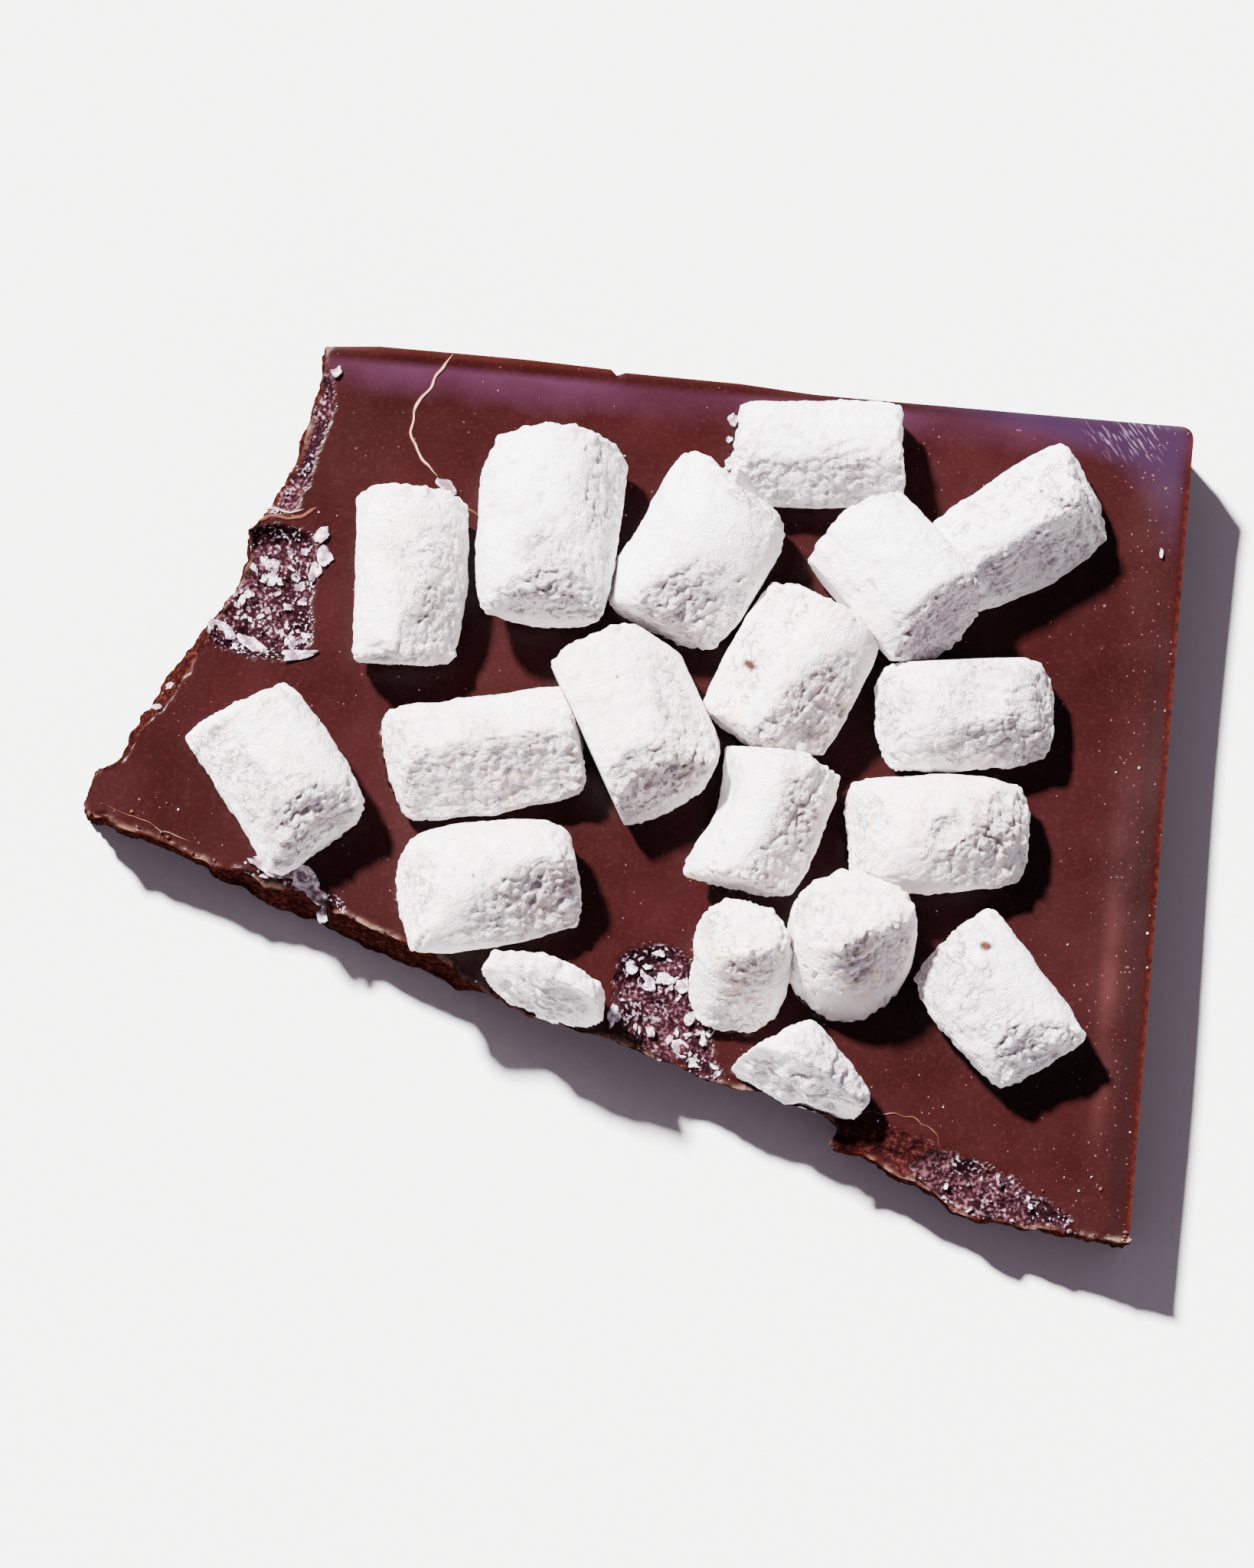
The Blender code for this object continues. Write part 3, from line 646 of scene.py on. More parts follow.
def torn_half(points, broken):
    """A marshmallow cut at the plane of its break: points beyond the plane are
    drawn straight towards a pivot inside the kept part until they reach it,
    which fills the section, and the torn face bulges and is roughened along the
    plane's normal. Also gives how far on the torn face each point is."""
    heading, lean = math.radians(broken.faces), math.radians(broken.lean)
    normal = np.array((math.cos(lean) * math.cos(heading), math.cos(lean) * math.sin(heading),
                       math.sin(lean)))
    edge = np.array((broken.edge_x, broken.edge_y, THICKNESS))
    beyond = (points - edge) @ normal
    section = points[np.abs(beyond) < 0.4].mean(axis=0)
    pivot = section - normal * (1.0 + (section - edge) @ normal)
    depth = (edge - pivot) @ normal
    reach = np.maximum((points - pivot) @ normal, depth)
    drawn = pivot + (points - pivot) * (depth / reach)[..., None]
    torn = np.clip(beyond / 0.5, 0, 1)
    out = np.linalg.norm(drawn - section, axis=-1) / (0.6 * broken.place.width)
    rough = TEAR_BULGE * (1 - out ** 2) + relief(drawn, TEAR_ROUGH) - 0.3 * folds(drawn, 1.6, 64)
    return drawn + (torn * rough)[..., None] * normal, torn


for number, broken in enumerate(HALF_MARSHMALLOWS):
    index = len(MARSHMALLOWS) + number
    points, torn = torn_half(bodies[index], broken)
    bodies[index] = points
    skin = skins[index]
    # Painted shade on the torn face through the end mask, and in its fine folds through the crinkled mask
    masks = (("crease", np.where(torn > 0, 0.1, skin["crease"])),
             ("end", np.maximum(skin["end"], torn * 0.3)),
             ("crinkled", np.maximum(skin["crinkled"], torn * 0.7)),
             ("ivory", np.full(torn.shape, 0.1)), ("stain", np.zeros(torn.shape)))
    new_piece(f"torn_marshmallow_{number + 1}", close_ends(points), skin_faces, sugar_skin,
              "marshmallow", f"half_marshmallow_{number + 1}",
              [(mask, with_poles(values)) for mask, values in masks])


# The slab: dark milk chocolate poured into a tray, moulded smooth on its back
# and right sides and snapped on the other two. Its breaks are granular, and
# hollows along them keep the shape and some skin of lost marshmallows.

# How far each wall stands in from the outline at five levels: by the tray's draft,
# and on the breaks where they lean back, where they are undercut, and by how rough
# they are
LEVELS = (0.0, 0.7, 3.1, 5.9, 8.5)
MOULDED_DRAFT = (1.0, 0.6, 0.4, 0.2, 0.35)
LEAN_BACK = (0.0, 0.0, 0.2, 0.6, 1.0)
UNDERCUT = (1.0, 0.92, 0.6, 0.25, 0.0)
BREAK_ROUGH = (0.25, 0.2, 0.15, 0.08, 0.0)

# The outline's seed, the steps along it and how jagged the breaks are, and the
# moulded corner, which is the same as in the solids
SLAB_SEED = 41
JAGGED, BREAK_STEP, MOULDED_STEP = 0.28, 2.2, 3.6
CORNER_RADIUS, CORNER_STEPS = 1.4, 4

# How deep, how far in and how wide the moulded rim is rounded, the gap under each
# marshmallow, the chocolate drawn up round it, the soft edge of the hollows, the
# chips of the breaks' top edges, how far their pale line of painted highlight
# reaches, and how far down their grit starts
EDGE_ROUND, EDGE_IN, EDGE_WIDE = 0.15, 0.35, 0.3
SEAT_GAP, MENISCUS, MENISCUS_REACH = 0.05, 0.3, 0.4
HOLLOW_EDGE = 0.25
CHIP_DEEP, CHIP_SIZE, CHIP_REACH = 0.3, 0.8, 0.35
PALE_LINE, GRIT_FROM = 0.3, 0.6

# Relief as height, size and seed: ripples of the pour, waves of the moulded sides,
# the wander of the breaks' edges, grit on their faces, and the rough hollows
RIPPLES = ((0.05, 7.0, 3), (0.02, 2.2, 4))
MOULDED_WAVES = ((0.04, 5.0, 18),)
EDGE_WANDER = ((0.11, 0.9, 11), (0.07, 0.4, 12))
BREAK_GRIT = ((0.26, 1.9, 15), (0.17, 0.85, 16), (0.13, 0.42, 17))
HOLLOW_ROUGH = ((0.3, 1.6, 5), (0.22, 0.8, 6), (0.2, 0.42, 7))

# How much white skin was left in the hollow of each lost marshmallow, and how far
# the spalled ledge lies above its cast
SUGARY = (0.3, 1.2, 1.0, 0.8, 0.0, 0.6)
LEDGE_RAISED = 0.8

# Corners of each break: x, y, and how far the top edge stands back there, or
# how far the underside does where the number is negative
LEFT_BREAK = (
    (-70.6, 0.0, 0.3), (-71.1, -4.1, 0.5), (-72.0, -8.8, 0.5), (-74.3, -13.6, 0.5),
    (-75.4, -15.2, 0.4), (-75.2, -17.4, 0.4), (-77.0, -21.2, 0.7), (-79.4, -24.5, 1.7),
    (-81.5, -28.4, 1.8), (-83.6, -32.2, 1.3), (-83.8, -34.0, 0.8), (-85.7, -35.4, 0.5),
    (-86.4, -37.8, 0.3),
)
LOWER_BREAK = (
    (-86.0, -39.4, -0.3), (-82.6, -40.4, -0.4), (-76.8, -42.2, -0.3), (-69.5, -44.9, 1.2),
    (-63.5, -47.0, 0.8), (-56.4, -49.3, 0.6), (-54.0, -50.4, -0.6), (-47.9, -52.6, -1.3),
    (-41.1, -54.1, -1.2), (-35.2, -56.1, -1.2), (-30.2, -56.8, -1.2), (-25.0, -58.3, -1.0),
    (-24.0, -59.0, -0.6), (-23.8, -60.5, -0.5), (-20.0, -61.9, -0.6), (-18.0, -62.8, -0.6),
    (-12.3, -65.4, -0.5), (-6.7, -65.6, -0.5), (-2.7, -66.1, -0.4),
)
BREAK_END = (0.0, -66.2, -0.3)

# A small horn of chocolate beside the second half marshmallow: the plan is
# drawn out to the left there
HORN = (-24.4, -60.6)
HORN_OUT, HORN_WIDE = 1.0, 1.15

# The lip that crept over the tray's back edge: x, and how far it stands out
LIP = ((-70.6, 0.2), (-66.0, 0.6), (-54.0, 0.6), (-47.4, 0.45), (-46.9, 0.0), (-46.3, 0.3),
       (-37.0, 0.3), (-31.0, 0.0), (0.0, 0.0))
LIP_FROM, LIP_FADE = 6.2, 1.4

# The top's grid, finer towards the breaks by a power, the rows of the walls, a ring
# a little way in on the underside, and the grid of the lost marshmallows' casts
ACROSS, DEEP, WALL_ROWS = 312, 216, 28
ACROSS_GRADING, DEEP_GRADING = 1.1, 1.22
UNDERSIDE_INSET = 0.012
CAST_ALONG, CAST_AROUND = 260, 320


def run_between(corners, step, rng, jagged):
    """Points along straight legs, with the points inside a leg moved sideways
    at random. Each point carries a third value, blended along the leg."""
    points = []
    for start, end in zip(corners[:-1], corners[1:]):
        start, end = np.array(start), np.array(end)
        leg = end - start
        length = math.hypot(leg[0], leg[1])
        count = max(1, round(length / step))
        side = np.array((-leg[1], leg[0], 0.0)) / length
        for index in range(count):
            point = start + leg * index / count
            if index:
                point = point + side * rng.uniform(-jagged, jagged)
            points.append(point)
    return points


def resample(corners, shares):
    """Points at the given shares of the length of a run of straight legs."""
    leg = np.linalg.norm(np.diff(corners[:, :2], axis=0), axis=1)
    run = np.concatenate(((0.0,), np.cumsum(leg)))
    return np.column_stack([np.interp(shares * run[-1], run, column) for column in corners.T])


def underside_of(grids, step=0.25, clear=40.0):
    """A function of the plan that gives the lowest point of the given surfaces
    over each place, from the least height in each cell of a fine raster, blended
    between the cells."""
    low = np.array((-90.0, -75.0))
    shape = (int(95 / step), int(85 / step))
    raster = np.full(shape, clear)
    for grid in grids:
        cell = np.round((grid.reshape(-1, 3)[:, :2] - low) / step).astype(int)
        np.minimum.at(raster, (cell[:, 0], cell[:, 1]), grid.reshape(-1, 3)[:, 2])

    def lowest(x, y):
        across = np.clip((x - low[0]) / step, 0, shape[0] - 1.01)
        deep = np.clip((y - low[1]) / step, 0, shape[1] - 1.01)
        i, j = across.astype(int), deep.astype(int)
        s, t = across - i, deep - j
        back = raster[i, j] * (1 - s) + raster[i + 1, j] * s
        front = raster[i, j + 1] * (1 - s) + raster[i + 1, j + 1] * s
        return back * (1 - t) + front * t
    return lowest


seated = underside_of(bodies)
lost = []
for number, place in enumerate(IMPRINTS):
    cast = rod(place, FIRST_SEED + len(places) + number, SQUARENESS, CAST_ALONG, CAST_AROUND)[0]
    lost.append(settle(place, cast) + cast @ turn_of(place).T)
skin_hollows = underside_of([cast for number, cast in enumerate(lost) if number != LEDGE])
ledge_hollow = underside_of([lost[LEDGE]])


def slab_top(plan):
    """Height of the slab over the plan: the poured top with faint ripples and
    rounded moulded rims, drawn up a little against each marshmallow, lowered to
    fit under it, and cut down to the rough hollows of the lost ones. Also gives
    masks of the hollows and of the ledge."""
    x, y = plan[..., 0], plan[..., 1]
    flat = np.stack((x, y, np.zeros_like(x)), axis=-1)
    level = top_height(x, y) + relief(flat, RIPPLES)
    margin = np.minimum(-x, -y + np.interp(x, *np.array(LIP).T)) - EDGE_IN
    level = level - EDGE_ROUND * np.exp(-np.maximum(margin, 0) / EDGE_WIDE)
    above = np.maximum(seated(x, y) - level, 0)
    height = np.minimum(level + MENISCUS * np.exp(-above / MENISCUS_REACH),
                        seated(x, y) - SEAT_GAP)
    ragged = relief(flat, HOLLOW_ROUGH)
    hollow = skin_hollows(x, y) + ragged
    ledge = ledge_hollow(x, y) + 0.8 * ragged + LEDGE_RAISED
    in_hollow = np.clip((height - hollow) / HOLLOW_EDGE, 0, 1)
    on_ledge = np.clip((height - ledge) / HOLLOW_EDGE, 0, 1) * (hollow > ledge)
    return np.minimum(height, np.minimum(hollow, ledge)), in_hollow, on_ledge


# The outline: the moulded sides with their rounded corner, then the breaks with the
# same random draws as in the solids. It is cut into four sides at the moulded
# corner, at both ends of the breaks and at the tip between them
rng = np.random.default_rng(SLAB_SEED)
radius = CORNER_RADIUS
right = np.array(run_between((BREAK_END, (0.0, -radius, 0.0)), MOULDED_STEP, rng, 0.0))
turn = np.radians(np.linspace(0, 90, 2 * CORNER_STEPS + 1))
corner = np.column_stack((radius * (np.cos(turn) - 1), radius * (np.sin(turn) - 1), 0 * turn))
back = np.array(run_between(((-radius, 0.0, 0.0), LEFT_BREAK[0]), MOULDED_STEP, rng, 0.0))
breaks = run_between(LEFT_BREAK + LOWER_BREAK + (BREAK_END,), BREAK_STEP, rng, JAGGED)
breaks = np.array(breaks + [BREAK_END])
tip = np.abs(breaks[:, :2] - LEFT_BREAK[-1][:2]).sum(axis=1).argmin()

across = np.linspace(0, 1, ACROSS + 1) ** ACROSS_GRADING
deep = np.linspace(0, 1, DEEP + 1) ** DEEP_GRADING
sides = (
    resample(breaks[tip:], across),
    resample(np.vstack((right, corner[:CORNER_STEPS + 1])), deep),
    resample(np.vstack((corner[CORNER_STEPS:], back[1:], breaks[:1]))[::-1], across)[::-1],
    resample(breaks[:tip + 1][::-1], deep)[::-1],
)
moulded = np.concatenate([np.full(len(side) - 1, kind)
                          for side, kind in zip(sides, (0.0, 1.0, 1.0, 0.0))])
outline = np.vstack([side[:-1] for side in sides])

# The way inwards, square to the step from three points behind to three ahead, and
# the wander of the breaks' edges along it
ahead = np.roll(outline[:, :2], -3, axis=0) - np.roll(outline[:, :2], 3, axis=0)
toward = np.column_stack((-ahead[:, 1], ahead[:, 0]))
toward /= np.linalg.norm(toward, axis=1, keepdims=True)
edge_points = np.column_stack((outline[:, :2], np.zeros(len(outline))))
outline[:, :2] += ((1 - moulded) * relief(edge_points, EDGE_WANDER))[:, None] * toward
lip = np.where(moulded * (outline[:, 1] > -1.0) > 0,
               np.interp(outline[:, 0], *np.array(LIP).T), 0.0)


def outline_at(height):
    """The plan's outline at a height, with the lip faded in towards the top."""
    out = outline[:, :2].copy()
    out[:, 1] += lip * np.clip((height - LIP_FROM) / LIP_FADE, 0, 1)
    return out


def wall_offset(height):
    """How far in from the outline the wall stands at a height: the tray's draft
    on the moulded sides, and on the breaks the lean or the undercut of each
    place, both blended between fixed levels."""
    draft = np.interp(height, LEVELS, MOULDED_DRAFT)
    lean = np.interp(height, LEVELS, LEAN_BACK) * np.maximum(outline[:, 2], 0)
    under = np.interp(height, LEVELS, UNDERCUT) * np.maximum(-outline[:, 2], 0)
    rough = np.interp(height, LEVELS, BREAK_ROUGH)
    return np.where(moulded > 0, draft, lean + under + rough)


def draw_horn(plan):
    """The plan moved left round the horn by a bell curve of the distance."""
    apart = ((plan - HORN) ** 2).sum(axis=-1) / HORN_WIDE ** 2
    shift = np.zeros_like(plan)
    shift[..., 0] = -HORN_OUT * np.exp(-apart)
    return plan + shift


# The plan of the top is a Coons patch: each point is blended between the lower and
# the upper side and between the left and the right one, less the corners that the
# two blends share
rim = outline_at(THICKNESS) + toward * wall_offset(np.full(len(outline), THICKNESS))[:, None]
rim = outline_at(THICKNESS) + toward * wall_offset(np.minimum(slab_top(rim)[0], THICKNESS))[:, None]
lower = rim[:ACROSS + 1]
right = rim[ACROSS:ACROSS + DEEP + 1]
upper = rim[ACROSS + DEEP:2 * ACROSS + DEEP + 1][::-1]
left = np.vstack((rim[2 * ACROSS + DEEP:], rim[:1]))[::-1]
u = across[None, :, None]
v = deep[:, None, None]
plan = (1 - v) * lower[None] + v * upper[None] + (1 - u) * left[:, None] + u * right[:, None]
plan = plan - (1 - u) * (1 - v) * lower[0] - u * (1 - v) * lower[-1]
plan = plan - (1 - u) * v * upper[0] - u * v * upper[-1]

from_break = np.minimum(np.linalg.norm(plan - lower[None], axis=2),
                        np.linalg.norm(plan - left[:, None], axis=2))
plan = draw_horn(plan)
top, in_hollow, on_ledge = slab_top(plan)
level_points = np.concatenate((plan, np.zeros((*top.shape, 1))), axis=2)
chips = np.maximum(0, lumps(level_points, CHIP_SIZE, 14) + 0.2) * CHIP_DEEP
top = top - chips * np.exp(-(from_break / CHIP_REACH) ** 2)
top_points = np.concatenate((plan, top[:, :, None]), axis=2)

# The walls are rows of the rim's points carried down by even shares of its height,
# and a ring on the underside that one face closes
grid_index = np.arange(top.size).reshape(top.shape)
rim_index = np.concatenate((grid_index[0, :-1], grid_index[:-1, -1], grid_index[-1, :0:-1],
                            grid_index[:0:-1, 0]))
rim_height = top.ravel()[rim_index]
rows = []
for row in range(1, WALL_ROWS + 1):
    height = rim_height * (1 - row / WALL_ROWS)
    out = outline_at(height) + toward * wall_offset(height)[:, None]
    points = np.column_stack((out, height))
    below = np.clip((rim_height - height) / GRIT_FROM, 0, 1) * (0.5 if row == WALL_ROWS else 1.0)
    push = below * np.where(moulded > 0, relief(points, MOULDED_WAVES), relief(points, BREAK_GRIT))
    points[:, :2] = draw_horn(out + toward * push[:, None])
    rows.append(points)
underside = rows[-1].copy()
underside[:, :2] += UNDERSIDE_INSET * (underside[:, :2].mean(axis=0) - underside[:, :2])
rows.append(underside)
slab_points = np.vstack([top_points.reshape(-1, 3)] + rows)

ring = np.arange(len(outline))
ring_index = [rim_index] + [top.size + row * len(outline) + ring for row in range(len(rows))]
faces = np.stack((grid_index[:-1, :-1], grid_index[:-1, 1:], grid_index[1:, 1:],
                  grid_index[1:, :-1]), axis=2).reshape(-1, 4)
walls = np.vstack([np.column_stack((below, np.roll(below, -1), np.roll(above, -1), above))
                   for above, below in zip(ring_index[:-1], ring_index[1:])])
slab_faces = [np.vstack((faces, walls)), ring_index[-1][None, ::-1]]

# Masks for the finishes, over the points of the top and then of the walls
wall_count = len(rows) * len(outline)
wall_broken = np.concatenate((np.tile(1 - moulded, WALL_ROWS), np.zeros(len(outline))))
wall_depth = np.concatenate([rim_height - points[:, 2] for points in rows])
# The pale line of painted highlight along the breaks' top edges, on the top and down the walls' first rows
edge_line = np.exp(-(from_break / PALE_LINE) ** 2).ravel()
from_lost = np.stack([np.hypot(plan[..., 0] - place.x, plan[..., 1] - place.y)
                      for place in IMPRINTS])
# The white skin thins towards each hollow's middle: partly the skin left near the rims, partly painted
# shade for the deep middle
sugary = np.array(SUGARY)[from_lost.argmin(axis=0)] * np.clip(from_lost.min(axis=0) / 4.0, 0.25, 1)
no_wall = np.zeros(wall_count)
slab_masks = {mask: np.concatenate((on_top.ravel(), on_wall)) for mask, on_top, on_wall in (
    ("broken", np.maximum(on_ledge.ravel(), edge_line * 0.6), wall_broken),
    ("hollow", in_hollow, no_wall), ("sugary", sugary, no_wall), ("ledge", on_ledge, no_wall),
    ("edge", edge_line, wall_broken * np.exp(-(wall_depth / PALE_LINE) ** 2)),
    ("wall", np.zeros(top.size), no_wall + 1))}

# Scattered specks, of dust on the poured top and of crumbs in the hollows: cells
# of which a share holds one spot, each spot of its own size
scattered, scatter_in, scatter_out = new_group(
    "scattered specks", (("Spacing", 1.0), ("Share", 0.3), ("Spot", 0.12)), ("Mask",))
scatter_cells = add_node(scattered, "TexVoronoi", (
    ("Vector", own_place(scattered)),
    ("Scale", math_node(scattered, "DIVIDE", 1 / MM, scatter_in.outputs["Spacing"]))))
scatter_pick = add_node(scattered, "SeparateColor", ((0, scatter_cells.outputs["Color"]),))
scatter_size = times(scattered, scatter_pick.outputs[1], scatter_in.outputs["Spot"])
scatter_spot = ramp_node(scattered, math_node(
    scattered, "SUBTRACT", scatter_size, scatter_cells.outputs["Distance"]), 0.0, 0.03)
scatter_kept = math_node(scattered, "LESS_THAN", scatter_pick.outputs[0],
                         scatter_in.outputs["Share"])
scattered.links.new(times(scattered, scatter_spot, scatter_kept), scatter_out.inputs["Mask"])


def specks_node(tree, spacing, share, spot):
    """The scattered specks group placed in a material with its own values, of
    which the share may be another node's output."""
    item = add_node(tree, "Group", node_tree=scattered)
    item.inputs["Spacing"].default_value = spacing
    item.inputs["Spot"].default_value = spot
    if isinstance(share, bpy.types.NodeSocket):
        tree.links.new(share, item.inputs["Share"])
    else:
        item.inputs["Share"].default_value = share
    return item.outputs[0]


def band_node(tree, value, rises, full, fades, gone):
    """A band of 1 from full to fades, which rises before it and is gone after."""
    return times(tree, ramp_node(tree, value, rises, full), ramp_node(tree, value, gone, fades))


def chocolate_finish(name, shine):
    """Satin dark red-brown chocolate with a painted violet sheen, a reflection of
    the sky, along the moulded edges, painted bands of shade and sheen beside the
    right edge, specks of sugar, a painted glow along the rim, orange-brown grain on
    the breaks with painted highlights on it, and skin in the hollows. Each part of
    the slab shows the part of it that its masks pick, and the shine is its
    specular level."""
    chocolate, tree, shader = new_material(name, 0.3, shine)
    place = add_node(tree, "SeparateXYZ", ((0, own_place(tree)),)).outputs
    from_right, from_back = (math_node(tree, "MULTIPLY_ADD", place[axis], -1 / MM, float(CORNER[axis]))
                             for axis in (0, 1))
    cloud = noise_node(tree, 8.0, 3.0)
    brown = blend_node(tree, ramp_node(tree, cloud, 0.3, 0.7),
                       (0.0098, 0.0013, 0.0011), (0.0150, 0.0021, 0.0023))
    brown = coat(tree, brown, (0.030, 0.0070, 0.0080), patches(tree, 0.32, 2.0, 0.5, 0.75), 0.3)

    # The painted sheen, a violet reflection of the sky on the rim's creep, is a band
    # inside the back rim, and widens into the moulded corner as the product of the
    # distances from both edges stays under a limit. Pale streaks of painted highlight
    # lie in it in the corner, where fine ripples catch the reflection
    on_top = math_node(tree, "SUBTRACT", 1.0, mask_node(tree, "wall"))
    uneven = math_node(tree, "MULTIPLY_ADD", noise_node(tree, 3.0, 5.0), 2.4, -1.2)
    back_painted_sheen = times(
        tree, ramp_node(tree, math_node(tree, "ADD", from_back, uneven), 4.0, 1.4),
        ramp_node(tree, from_back, 0.7, 1.3), patches(tree, 14.0, 1.0, 0.2, 0.6), on_top)
    both = math_node(tree, "MULTIPLY_ADD", uneven, 5.0, times(tree, from_back, from_right))
    corner_painted_sheen = times(
        tree, ramp_node(tree, both, 30.0, 13.0), ramp_node(tree, from_right, 24.0, 13.0),
        ramp_node(tree, from_back, 12.0, 3.0), ramp_node(tree, from_right, 0.6, 1.6), on_top)
    streak_place = add_node(tree, "Mapping", (
        ("Vector", own_place(tree)), ("Rotation", (0, 0, math.radians(-50))),
        ("Scale", (8.0, 1.0, 1.0))), vector_type="TEXTURE").outputs[0]
    painted_sheen_streaks = times(
        tree, ramp_node(tree, noise_node(tree, 0.2, 1.0, streak_place), 0.57, 0.68),
        band_node(tree, from_right, 2.0, 4.0, 7.5, 9.5), ramp_node(tree, from_back, 3.8, 2.4),
        corner_painted_sheen)
    # Painted sheen: violet along the back rim and in the corner, with pale streaks of painted highlight
    brown = coat(tree, brown, (0.0340, 0.0102, 0.0235), back_painted_sheen, 0.85)
    brown = coat(tree, brown, (0.0168, 0.0066, 0.0210), corner_painted_sheen, 0.8)
    brown = coat(tree, brown, (0.15, 0.115, 0.17), painted_sheen_streaks, 0.55)

    # Beside the right edge, a darker band of painted shade, and inside it towards the
    # front a paler band of painted sheen, as the pour's bands there show dark and light
    brown = coat(tree, brown, (0.0062, 0.0009, 0.0010), band_node(tree, from_right, 0.8, 1.2, 1.9, 2.6),
                 ramp_node(tree, from_back, 14.0, 24.0), 0.55)
    brown = coat(tree, brown, (0.034, 0.0088, 0.0088), band_node(tree, from_right, 2.7, 3.4, 3.8, 4.6),
                 band_node(tree, from_back, 30.0, 42.0, 52.0, 62.0),
                 ramp_node(tree, cloud, 0.35, 0.6), 0.6)

    # Dust: fine specks all over and more of them beside the right edge, then a
    # painted glow along the thin moulded rim, for the light that it lets through
    near_right = band_node(tree, from_right, 0.8, 2.0, 3.0, 6.5)
    dust_share = math_node(tree, "MULTIPLY_ADD", near_right, 2.2, patches(tree, 5.0, 3.0, 0.46, 0.68))
    dust_share = math_node(tree, "MULTIPLY_ADD", dust_share, 0.28, 0.05)
    dust_and_painted_shade = math_node(tree, "MAXIMUM", specks_node(tree, 0.9, dust_share, 0.15),
                     specks_node(tree, 0.42, dust_share, 0.22))
    brown = coat(tree, brown, (0.12, 0.045, 0.055), dust_and_painted_shade, 0.6)
    brown = coat(tree, brown, (0.13, 0.036, 0.040), specks_node(tree, 1.7, 0.4, 0.06))
    brown = coat(tree, brown, (0.50, 0.40, 0.44), specks_node(tree, 3.1, 0.3, 0.04))
    painted_rim_glow = math_node(
        tree, "MAXIMUM",
        times(tree, ramp_node(tree, from_right, 0.72, 0.42), patches(tree, 0.5, 3.0, 0.32, 0.70)),
        times(tree, ramp_node(tree, from_back, 0.35, 0.15), 0.2))
    near_top = ramp_node(tree, place[2], (THICKNESS - 1.2) * MM, (THICKNESS + 0.1) * MM)
    # Painted glow along the rim
    brown = coat(tree, brown, (0.065, 0.0100, 0.0045), painted_rim_glow, near_top, 0.7)

    # The breaks: dark brown with painted highlights, orange where the tops of the
    # grains would catch the light, and paler on the ledge, where painted light lifts
    # it out of the shade that falls there
    grain_height, _ = grain_node(tree, 0.42)
    painted_grain_highlight = ramp_node(tree, grain_height, 0.74, 0.92)
    broken_brown = blend_node(tree, painted_grain_highlight, (0.0085, 0.0019, 0.0018), (0.038, 0.0090, 0.0060))
    broken_brown = coat(tree, broken_brown, (0.11, 0.045, 0.034), specks_node(tree, 0.8, 0.25, 0.2))
    ledge_brown = blend_node(tree, painted_grain_highlight, (0.0120, 0.0027, 0.0027), (0.041, 0.0108, 0.0100))
    broken_brown = coat(tree, broken_brown, ledge_brown, mask_node(tree, "ledge"))
    broken = mask_node(tree, "broken")
    brown = coat(tree, brown, broken_brown, broken)

    # The hollows: dark grains, lilac crystals and white shreds of skin, then thin
    # pale lines of painted highlight along the breaks' top edges, where their ridges
    # would catch the light
    salt = noise_node(tree, 0.33, 3.0)
    pepper = blend_node(tree, ramp_node(tree, salt, 0.46, 0.66),
                        (0.0110, 0.0032, 0.0046), (0.085, 0.035, 0.045))
    pepper = coat(tree, pepper, (0.0048, 0.0014, 0.0024), patches(tree, 3.4, 1.5, 0.52, 0.42), 0.8)
    white_grain = ramp_node(tree, math_node(
        tree, "MULTIPLY_ADD", patches(tree, 1.9, 2.0, 0.46, 0.62), 0.12, salt), 0.65, 0.70)
    pepper = coat(tree, pepper, (0.42, 0.36, 0.43), white_grain, mask_node(tree, "sugary"))
    hollow = mask_node(tree, "hollow")
    brown = coat(tree, brown, pepper, hollow)
    # Painted highlight along the breaks' top edges
    painted_edge_highlight = blend_node(tree, patches(tree, 2.1, 2.0, 0.42, 0.6),
                             (0.032, 0.0058, 0.0026), (0.15, 0.080, 0.060))
    brown = coat(tree, brown, painted_edge_highlight, mask_node(tree, "edge"), patches(tree, 1.3, 3.0, 0.40, 0.56),
                 0.85)

    # Dull where it is rough, and satin with faint clouds elsewhere
    rough = math_node(tree, "MAXIMUM", broken, hollow)
    tree.links.new(math_node(tree, "MULTIPLY_ADD", rough, 0.5,
                             math_node(tree, "MULTIPLY_ADD", cloud, 0.1, 0.2)),
                   shader.inputs["Roughness"])
    fine = times(tree, math_node(tree, "ADD", grain_height, salt), rough)
    satin = times(tree, noise_node(tree, 0.9, 3.0), 0.08)
    lay_on(tree, shader, brown, math_node(tree, "ADD", fine, satin), 0.7, 0.16)
    return chocolate


# The broken and the hollowed faces are quite dull, the moulded sides less so
DULL_FROM, WALL_FROM = 0.45, 0.9
slab = new_piece("poured_slab", slab_points, slab_faces,
                 chocolate_finish("dark milk chocolate", 0.16), "chocolate",
                 "chocolate_slab", slab_masks.items())
slab.data.materials.append(chocolate_finish("broken chocolate", 0.0))
slab.data.materials.append(chocolate_finish("moulded chocolate", 0.05))
dull = np.maximum(slab_masks["broken"], slab_masks["hollow"])[slab_faces[0]].mean(axis=1) > DULL_FROM
beside = slab_masks["wall"][slab_faces[0]].mean(axis=1) > WALL_FROM
finish = np.append(np.where(dull, 1, np.where(beside, 2, 0)), 2)
slab.data.polygons.foreach_set("material_index", finish.astype(np.int32))
slab.data.set_sharp_from_angle(angle=math.radians(42))


# Scraps left on and round the breaks: flakes of dried skin, threads of painted
# highlight along a hairline crack and the breaks' top edges, and crumbs of sugar
# and of chocolate, all lying loose or stuck where they fell.

